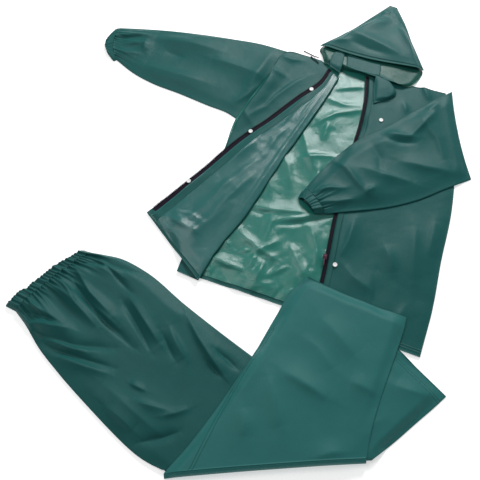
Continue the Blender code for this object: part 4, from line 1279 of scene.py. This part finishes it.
@dataclass
class Jacket:
    """The jacket's right sleeve, back and two fronts; its hood, collar and left sleeve are laid by Hood and
    LeftSleeve.
    """

    tape_width: float = 13.0
    facing_width: float = 36.0
    shown_tape: float = 8.0
    hidden_tape: float = 0.4
    tape_below: float = 1.0
    tape_floor: float = 2.0
    hem_share: float = 0.69
    fold_lines: int = 190
    tape_stops_short: int = 14
    hem_width: float = 12.0
    edges: dict = field(default_factory=dict)

    def build(self, ground: Ground) -> None:
        """Lay the jacket's pieces from the bottom up."""
        self.right_sleeve(ground)
        self.back(ground)
        self.opened_front(ground)
        self.left_front(ground)

    def right_sleeve(self, ground: Ground) -> None:
        """Lay the stretched-out sleeve and its gathered cuff."""
        cuff = Tube(
            "right_cuff_band", ("right_cuff",), RIGHT_CUFF, OUTER, (0.2, 0.024), ruffle=2.0,
            gathers=((Gathers(13, 2.6, 60.0, 3), False),), drop=Drop(left=12.0, right=12.0), held="gathered",
        ).build(ground)
        sleeve = Tube(
            "right_sleeve_cloth", ("right_sleeve",), RIGHT_SLEEVE, OUTER, (0.40, 0.42),
            folds=RIGHT_SLEEVE_FOLDS, gathers=((Gathers(15, 4.0, 40.0, 5), False),),
            drop=Drop(end=30.0, left=34.0, right=34.0),
        ).build(ground)
        ground.lay(cuff)
        ground.lay(sleeve)

    def back(self, ground: Ground) -> None:
        """Lay the back, coated side up, with its hem."""
        panel = Panel(
            "back_lining", ("back_panel",), BACK, LINING, (0.6, 0.66), BACK_FOLDS,
            Drop(start=20.0, end=10.0, left=30.0, right=20.0),
            ((46.0, 3.0, 11, 260.0), (24.0, 1.4, 12, 200.0)),
            inner_finish=OUTER,
        )
        skin = panel.build(ground)
        rows = int(self.hem_width / FINE) + 1
        columns = int(skin.shape[1] * self.hem_share)
        trim("back_hem_facing", "back_hem", skin[:rows, :columns], TRIM_CLOTH)

    def opened_front(self, ground: Ground) -> None:
        """Lay the front that is turned back, in one piece round its fold, with its trim."""
        rows = through(OPENED_FRONT, np.linspace(0, 1, self.fold_lines))
        seam, fold, edge = rows[:, 0:2], rows[:, 2:4], rows[:, 4:6]
        straight = np.zeros(len(rows))
        low_across = np.linspace(0, 1, 44)
        lower = lines_between(seam, fold, straight, low_across)
        width = np.linalg.norm(edge - fold, axis=1, keepdims=True)
        tape = np.minimum(self.tape_width / width, 0.28)
        facing = np.minimum(self.facing_width / width, 0.55)
        parts = (
            np.linspace(0, 1, 26)[None, :-1] * (1 - facing),
            1 - facing + (facing - tape) * np.linspace(0, 1, 7)[None, :-1],
            1 - tape + tape * np.linspace(0, 1, 5)[None, :],
        )
        across = np.concatenate(parts, axis=1)
        upper = lines_between(fold, edge, straight, across)
        low = Panel(
            "chest", ("right_front",), (), OUTER, (0.0, 0.0), CHEST_FOLDS, Drop(left=8.0), calm=16
        )
        floor = ground.under(lower) + GAP + CLOTH
        chest = np.maximum(relief(lower, CHEST_FOLDS) * low.drop.weight(lower), 0.0)
        low_skin = raised(lower, floor + chest + 0.8)
        ground.lay(low_skin)
        # The turned front's coated side is painted darker and bluer, which is painted shade and a painted
        # bluish reflection.
        high = Panel(
            "turned", ("right_front",), (), SHADED_TURNED_LINING, (0.0, 0.0), OPENED_FRONT_FOLDS,
            Drop(end=18.0, right=30.0), ((46.0, 2.2, 21, 200.0), (22.0, 0.9, 22, 160.0)), hem_last=True,
        )
        high_skin = high.laid(ground, upper)
        outward = (fold - seam) / np.linalg.norm(fold - seam, axis=1, keepdims=True)
        low_z, high_z = low_skin[:, -1, 2] - CLOTH, high_skin[:, 0, 2]
        turns = []
        for angle in np.linspace(-math.pi / 2, math.pi / 2, 9)[1:-1]:
            reach = (high_z - low_z) / 2 * math.cos(angle)
            height = (high_z + low_z) / 2 + (high_z - low_z) / 2 * math.sin(angle)
            turns.append(raised(fold + outward * reach[:, None], height)[:, None])
        under = low_skin - np.array([0.0, 0.0, CLOTH])
        skin = np.concatenate([under, *turns, high_skin], axis=1)
        made = shell("right_front_cloth", skin[:, ::-1], CLOTH, (OUTER, SHADED_TURNED_LINING))
        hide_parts("right_front")
        ground.lay(high_skin)
        last = len(rows) - 1 - int(self.hem_width / FINE) - 1
        tape_end = last - self.tape_stops_short
        tape_skin = trim(
            "right_zip_tape_cloth", "right_zip_tape", high_skin[:tape_end + 1, -5:], TAPE
        )
        trim(
            "right_edge_facing_cloth", "right_front_edge_facing", high_skin[tape_end + 1:last, -5:],
            TRIM_CLOTH,
        )
        trim(
            "right_facing_cloth", "right_front_facing", high_skin[:last, -11:-5], TRIM_CLOTH
        )
        trim("right_hem_cloth", "right_front_hem", high_skin[last + 1:], TRIM_CLOTH)
        ground.lay(tape_skin)
        self.edges["right"] = tape_skin[:, -1]
        LOG.info("right_front_cloth laid round its fold")

    def left_front(self, ground: Ground) -> None:
        """Lay the front that stays closed over the back, with its placket and zip tape."""
        panel = Panel(
            "left_front_cloth", ("left_front",), LEFT_FRONT, OUTER, (0.27, 0.72), LEFT_FRONT_FOLDS,
            Drop(start=24.0, right=24.0), hem=12.0,
        )
        skin = panel.build(ground)
        strip = trim("left_placket_cloth", "left_placket", skin[:, 0:5], TRIM_CLOTH)
        ground.lay(strip)
        edge = skin[:, 0]
        inward = skin[:, 1] - skin[:, 0]
        inward[:, 2] = 0.0
        inward = inward / np.linalg.norm(inward, axis=1, keepdims=True)
        shares = np.linspace(self.shown_tape, self.hidden_tape, 4)
        tape = np.stack([edge - inward * s for s in shares], axis=1)
        tape[..., 2] = np.maximum(edge[:, None, 2] - self.tape_below, self.tape_floor)
        made = shell("left_zip_tape_cloth", tape, TRIM, (TAPE, TAPE))
        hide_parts("left_zip_tape")
        ground.lay(tape)
        self.edges["left"] = tape[:, 0]


@dataclass
class Hood:
    """The hood lying on its side, with its rim hem and the collar."""

    rim_width: float = 14.0

    def build(self, ground: Ground) -> None:
        """Lay the collar and the hood's two sides."""
        # The hood's under side wears the darker copy of the coated cloth, which is painted shade.
        Panel(
            "hood_under_cloth", ("hood_under_side",), HOOD_UNDER, SHADED_HOOD_LINING, (0.24, 0.28),
            drop=Drop(start=10.0, end=10.0, left=12.0, right=12.0),
            crumple=((30.0, 1.0, 31, 100.0),), inner_finish=OUTER,
        ).build(ground)
        Panel(
            "back_collar_cloth", ("back_collar",), BACK_COLLAR, OUTER, (0.09, 0.045),
            drop=Drop(start=8.0, left=8.0, right=8.0), calm=6,
        ).build(ground)
        Panel(
            "right_collar_cloth", ("right_collar",), RIGHT_COLLAR, OUTER, (0.035, 0.065),
            drop=Drop(start=8.0, left=6.0, right=6.0), calm=6,
        ).build(ground)
        Panel(
            "left_collar_cloth", ("left_collar",), LEFT_COLLAR, OUTER, (0.045, 0.08),
            drop=Drop(start=8.0, left=6.0, right=6.0), calm=6,
        ).build(ground)
        skin = Panel(
            "hood_cloth", ("hood_top_side",), HOOD_TOP, OUTER, (0.18, 0.21), HOOD_FOLDS,
            Drop(end=16.0, left=22.0, right=22.0),
        ).build(ground)
        rows = int(self.rim_width / FINE)
        rim = trim("hood_rim_cloth", "hood_rim_hem", skin[:rows], TRIM_CLOTH)
        ground.lay(rim)


@dataclass
class LeftSleeve:
    """The sleeve folded over the left front, with its gathered cuff."""

    def build(self, ground: Ground) -> None:
        """Lay the sleeve and the cuff."""
        sleeve = Tube(
            "left_sleeve_cloth", ("left_sleeve",), LEFT_SLEEVE, OUTER, (0.41, 0.43),
            folds=LEFT_SLEEVE_FOLDS, gathers=((Gathers(13, 4.0, 34.0, 8), False),),
            drop=Drop(left=40.0, right=40.0, end=30.0),
        ).build(ground)
        cuff = Tube(
            "left_cuff_band", ("left_cuff",), LEFT_CUFF, OUTER, (0.16, 0.024), ruffle=2.0,
            gathers=((Gathers(11, 2.4, 60.0, 4), False),), drop=Drop(left=12.0, right=12.0), held="gathered",
        ).build(ground)
        ground.lay(sleeve)
        ground.lay(cuff)


@dataclass
class Trousers:
    """The trousers: gathered waist, thighs, and the two shins folded back over them."""

    def build(self, ground: Ground) -> None:
        """Lay the trousers' layers from the bottom up."""
        hidden = Tube(
            "hidden_leg_layers", ("right_leg_hidden_layers",), HIDDEN_LEG, OUTER, (0.62, 0.6),
            drop=Drop(left=16.0, right=16.0), held="folded",
        ).build(ground)
        ground.lay(hidden)
        thigh = Tube(
            "thigh_cloth", ("left_leg_thigh",), THIGH, OUTER, (0.62, 0.58), folds=THIGH_FOLDS,
            gathers=((Gathers(26, 9.0, 46.0, 1), False), (Gathers(9, 6.0, 120.0, 2), False)),
            drop=Drop(left=36.0, right=36.0), fine=3.0,
        ).build(ground)
        waist = Tube(
            "waist_elastic_band", ("waistband",), WAISTBAND, OUTER, (0.5, 0.026), ruffle=3.5,
            gathers=((Gathers(26, 6.0, 60.0, 1), False),), drop=Drop(left=12.0, right=12.0), held="gathered",
        ).build(ground)
        ground.lay(thigh)
        ground.lay(waist)
        # The shins and the knee fold wear the paler copy of the nylon, which is painted light.
        shin = Tube(
            "left_shin_cloth", ("left_leg_shin",), LOWER_LEG, LIT_SHIN_NYLON, (0.53, 0.35),
            folds=LOWER_LEG_FOLDS, drop=Drop(left=30.0, right=30.0, end=30.0), hem=20.0, held="folded",
        ).build(ground)
        ground.lay(shin)
        top = Tube(
            "right_shin_cloth", ("right_leg_shin",), TOP_LEG, LIT_SHIN_NYLON, (0.66, 0.43),
            folds=TOP_LEG_FOLDS, drop=Drop(left=30.0, right=30.0, end=30.0), seam_route=TOP_LEG_SEAM,
            held="folded",
        ).build(ground)
        self.knee_fold(top)

    def knee_fold(self, top: np.ndarray) -> None:
        """Wrap the outer leg's cloth round the fold at the knees, from the floor up to its shin.

        Args:
            top: the upper side of the outer leg's shin, whose first row is at the knees.
        """
        end = top[0]
        run = end[-1, :2] - end[0, :2]
        outward = np.array([run[1], -run[0]]) / np.linalg.norm(run)
        turns = np.linspace(0, math.pi, KNEE_FOLD_ROWS)[:, None]
        out = GAP + KNEE_FOLD_DEPTH * np.sin(turns)
        places = end[None, :, :2] + outward * out[..., None]
        skin = raised(places, end[:, 2] / 2 * (1 - np.cos(turns)))
        made = shell("knee_fold_cloth", skin, CLOTH, (LIT_SHIN_NYLON, LIT_SHIN_NYLON))
        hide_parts("right_leg_knee_fold")


@dataclass
class Fastenings:
    """The press studs, the zip's teeth, its slider and pull tab."""

    stud_radius: float = 5.4
    stud_height: float = 2.2
    tooth_pitch: float = 3.0
    tooth_length: float = 3.2
    tooth_width: float = 1.7
    tooth_height: float = 1.6

    def stud(self) -> bpy.types.Mesh:
        """Return the mesh of one press stud, with a rolled rim and a dished middle."""
        bpy.ops.object.select_all(action="DESELECT")
        bpy.ops.mesh.primitive_cylinder_add(
            vertices=40, radius=self.stud_radius * MM, depth=self.stud_height * MM,
            location=(0, 0, self.stud_height * MM / 2),
        )
        made = bpy.context.object
        bpy.ops.object.mode_set(mode="EDIT")
        bpy.ops.mesh.select_all(action="DESELECT")
        bpy.ops.object.mode_set(mode="OBJECT")
        for face in made.data.polygons:
            face.select = face.normal.z > 0.9
        bpy.ops.object.mode_set(mode="EDIT")
        bpy.ops.mesh.inset(thickness=0.0016)
        bpy.ops.transform.translate(value=(0, 0, 0.0003))
        bpy.ops.mesh.inset(thickness=0.0008)
        bpy.ops.transform.translate(value=(0, 0, -0.0008))
        bpy.ops.object.mode_set(mode="OBJECT")
        bevel = made.modifiers.new("rim", "BEVEL")
        bevel.width = 0.0005
        bevel.segments = 3
        bpy.ops.object.modifier_apply(modifier=bevel.name)
        bpy.ops.object.transform_apply(location=True, rotation=True, scale=True)
        bpy.ops.object.shade_smooth_by_angle(angle=math.radians(50))
        mesh = made.data
        bpy.data.objects.remove(made, do_unlink=True)
        return mesh

    def build(self, ground: Ground, edges: dict) -> None:
        """Set the studs and the teeth, and dress the slider and its tab.

        Args:
            ground: what is laid already.
            edges: the edges of the zip's two tapes.
        """
        pattern = self.stud()
        places = SNAPS_ON_OPENED_FRONT + SNAPS_ON_LEFT_FRONT
        for number, (x, y) in enumerate(places, start=1):
            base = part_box(f"snap_{number}")
            height = min(ground.at(x, y, 3.0) * MM, np.array(base).reshape(2, 3)[0, 2])
            mesh = pattern.copy()
            spot = to_frame(np.array([x, y, 0.0]))
            mesh.transform(Matrix.Translation((spot[0], spot[1], height)))
            mesh.materials.append(SNAP_PLASTIC.material())
            made = bpy.data.objects.new(f"stud_{number}", mesh)
            bpy.context.scene.collection.objects.link(made)
            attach(made, SUIT)
            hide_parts(f"snap_{number}")
        for side, edge in edges.items():
            self.teeth(f"{side}_zip_teeth", edge)
        for node in ("slider", "pull_tab"):
            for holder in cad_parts[node].material_slots:
                holder.material = SLIDER_METAL.material()
        LOG.info("fastenings set")

    def teeth(self, name: str, edge: np.ndarray) -> None:
        """Set a row of zip teeth along an edge.

        Args:
            name: the row's name.
            edge: the edge, in floor millimetres.
        """
        bpy.ops.object.select_all(action="DESELECT")
        bpy.ops.mesh.primitive_cube_add(size=1.0, location=(0, 0, 0))
        made = bpy.context.object
        made.scale = (self.tooth_length, self.tooth_width, self.tooth_height)
        bpy.ops.object.transform_apply(location=True, rotation=True, scale=True)
        bevel = made.modifiers.new("round", "BEVEL")
        bevel.width = 0.35
        bevel.segments = 1
        bpy.ops.object.modifier_apply(modifier=bevel.name)
        places = np.array([v.co for v in made.data.vertices])
        faces = [list(face.vertices) for face in made.data.polygons]
        bpy.data.objects.remove(made, do_unlink=True)
        steps = np.linalg.norm(np.diff(edge, axis=0), axis=1)
        at = np.concatenate([[0.0], np.cumsum(steps)])
        wanted = np.arange(4.0, at[-1] - 4.0, self.tooth_pitch)
        spots = np.stack([np.interp(wanted, at, edge[:, k]) for k in range(3)], axis=1)
        ahead = np.stack([np.interp(wanted + 2.0, at, edge[:, k]) for k in range(3)], axis=1)
        run = ahead - spots
        run = run / np.linalg.norm(run, axis=1, keepdims=True)
        all_places, all_faces = [], []
        for spot, way in zip(spots, run):
            aside = np.array([way[1], -way[0], 0.0])
            first = len(all_places) * len(places)
            upright = np.array([0.0, 0.0, 1.0])
            placed = spot + places[:, :1] * aside + places[:, 1:2] * way + places[:, 2:] * upright
            all_places.append(placed + upright * self.tooth_height / 2)
            all_faces.extend([first + i for i in face] for face in faces)
        mesh = bpy.data.meshes.new(name)
        mesh.from_pydata(to_frame(np.concatenate(all_places)).tolist(), [], all_faces)
        mesh.materials.append(TEETH.material())
        row = bpy.data.objects.new(name, mesh)
        bpy.context.scene.collection.objects.link(row)
        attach(row, SUIT)


@dataclass
class Drawcord:
    """The free ends of the hood's drawcord."""

    def build(self, ground: Ground) -> None:
        """Lay both ends as curves."""
        for name, route in DRAWCORDS.items():
            points = np.array(route[::-1], float)
            heights = [ground.at(x, y, 2.0) + DRAWCORD_RADIUS + GAP for x, y in points]
            places = to_frame(np.concatenate([points, np.array(heights)[:, None]], axis=1))
            curve = bpy.data.curves.new(f"{name}_braid", "CURVE")
            curve.dimensions = "3D"
            curve.bevel_depth = DRAWCORD_RADIUS * MM
            curve.bevel_resolution = 4
            curve.use_fill_caps = True
            line = curve.splines.new("BEZIER")
            line.bezier_points.add(len(places) - 1)
            for knot, place in zip(line.bezier_points, places):
                knot.co = place
                knot.handle_left_type = knot.handle_right_type = "AUTO"
            curve.materials.append(CORD.material())
            made = bpy.data.objects.new(f"{name}_braid", curve)
            bpy.context.scene.collection.objects.link(made)
            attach(made, SUIT)
            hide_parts(name)
        LOG.info("drawcord ends laid")


@dataclass
class Studio:
    """The floor, the lights and the camera."""

    floor_size: float = 12.0
    sky: float = 0.3
    key_power: float = 80.0
    fill_power: float = 20.0

    def build(self) -> None:
        """Make the floor, the lights and the camera."""
        self.floor()
        self.lights()
        self.camera()
        bpy.context.scene.view_settings.view_transform = "Standard"

    def floor(self) -> None:
        """Lay a plain pale floor."""
        bpy.ops.object.select_all(action="DESELECT")
        bpy.ops.mesh.primitive_plane_add(size=self.floor_size)
        floor = bpy.context.object
        floor.name = "floor"
        made = bpy.data.materials.new("pale floor")
        made.use_nodes = True
        shader = made.node_tree.nodes["Principled BSDF"]
        shader.inputs["Base Color"].default_value = (0.93, 0.93, 0.93, 1.0)
        shader.inputs["Roughness"].default_value = 0.9
        shader.inputs["Specular IOR Level"].default_value = 0.0
        shader.inputs["Emission Color"].default_value = (1.0, 1.0, 1.0, 1.0)
        shader.inputs["Emission Strength"].default_value = 0.45
        floor.data.materials.append(made)

    def lights(self) -> None:
        """Set a large soft light on the far side, a small one on the left, and a pale sky."""
        world = bpy.data.worlds.new("studio")
        bpy.context.scene.world = world
        world.use_nodes = True
        sky = world.node_tree.nodes["Background"]
        sky.inputs["Color"].default_value = (1.0, 1.0, 1.0, 1.0)
        sky.inputs["Strength"].default_value = self.sky
        for name, place, size, power in (
            ("far_softbox", (0.9, 2.6, 1.9), 0.9, self.key_power),
            ("left_softbox", (-1.2, 0.4, 2.6), 1.2, self.fill_power),
        ):
            lamp = bpy.data.lights.new(name, "AREA")
            lamp.size = size
            lamp.energy = power
            thing = bpy.data.objects.new(name, lamp)
            thing.location = place
            thing.rotation_euler = (-Vector(place)).to_track_quat("-Z", "Y").to_euler()
            bpy.context.scene.collection.objects.link(thing)

    def camera(self) -> None:
        """Set the camera above the near side, looking down and away."""
        lens = bpy.data.cameras.new("camera")
        lens.lens = CAMERA_LENS
        lens.sensor_width = CAMERA_SENSOR
        lens.clip_end = 50.0
        camera = bpy.data.objects.new("camera", lens)
        camera.location = to_frame(np.array(CAMERA_PLACE))
        camera.rotation_euler = (math.radians(CAMERA_TILT), 0.0, 0.0)
        bpy.context.scene.collection.objects.link(camera)
        bpy.context.scene.camera = camera


def main() -> None:
    """Build the suit from the bottom of the layout to its top, and the studio round it."""
    logging.basicConfig(level=logging.INFO)
    Studio().build()
    ground = Ground()
    jacket = Jacket()
    jacket.build(ground)
    Fastenings().build(ground, jacket.edges)
    Drawcord().build(ground)
    Hood().build(ground)
    LeftSleeve().build(ground)
    Trousers().build(ground)


if __name__ == "__main__":
    main()
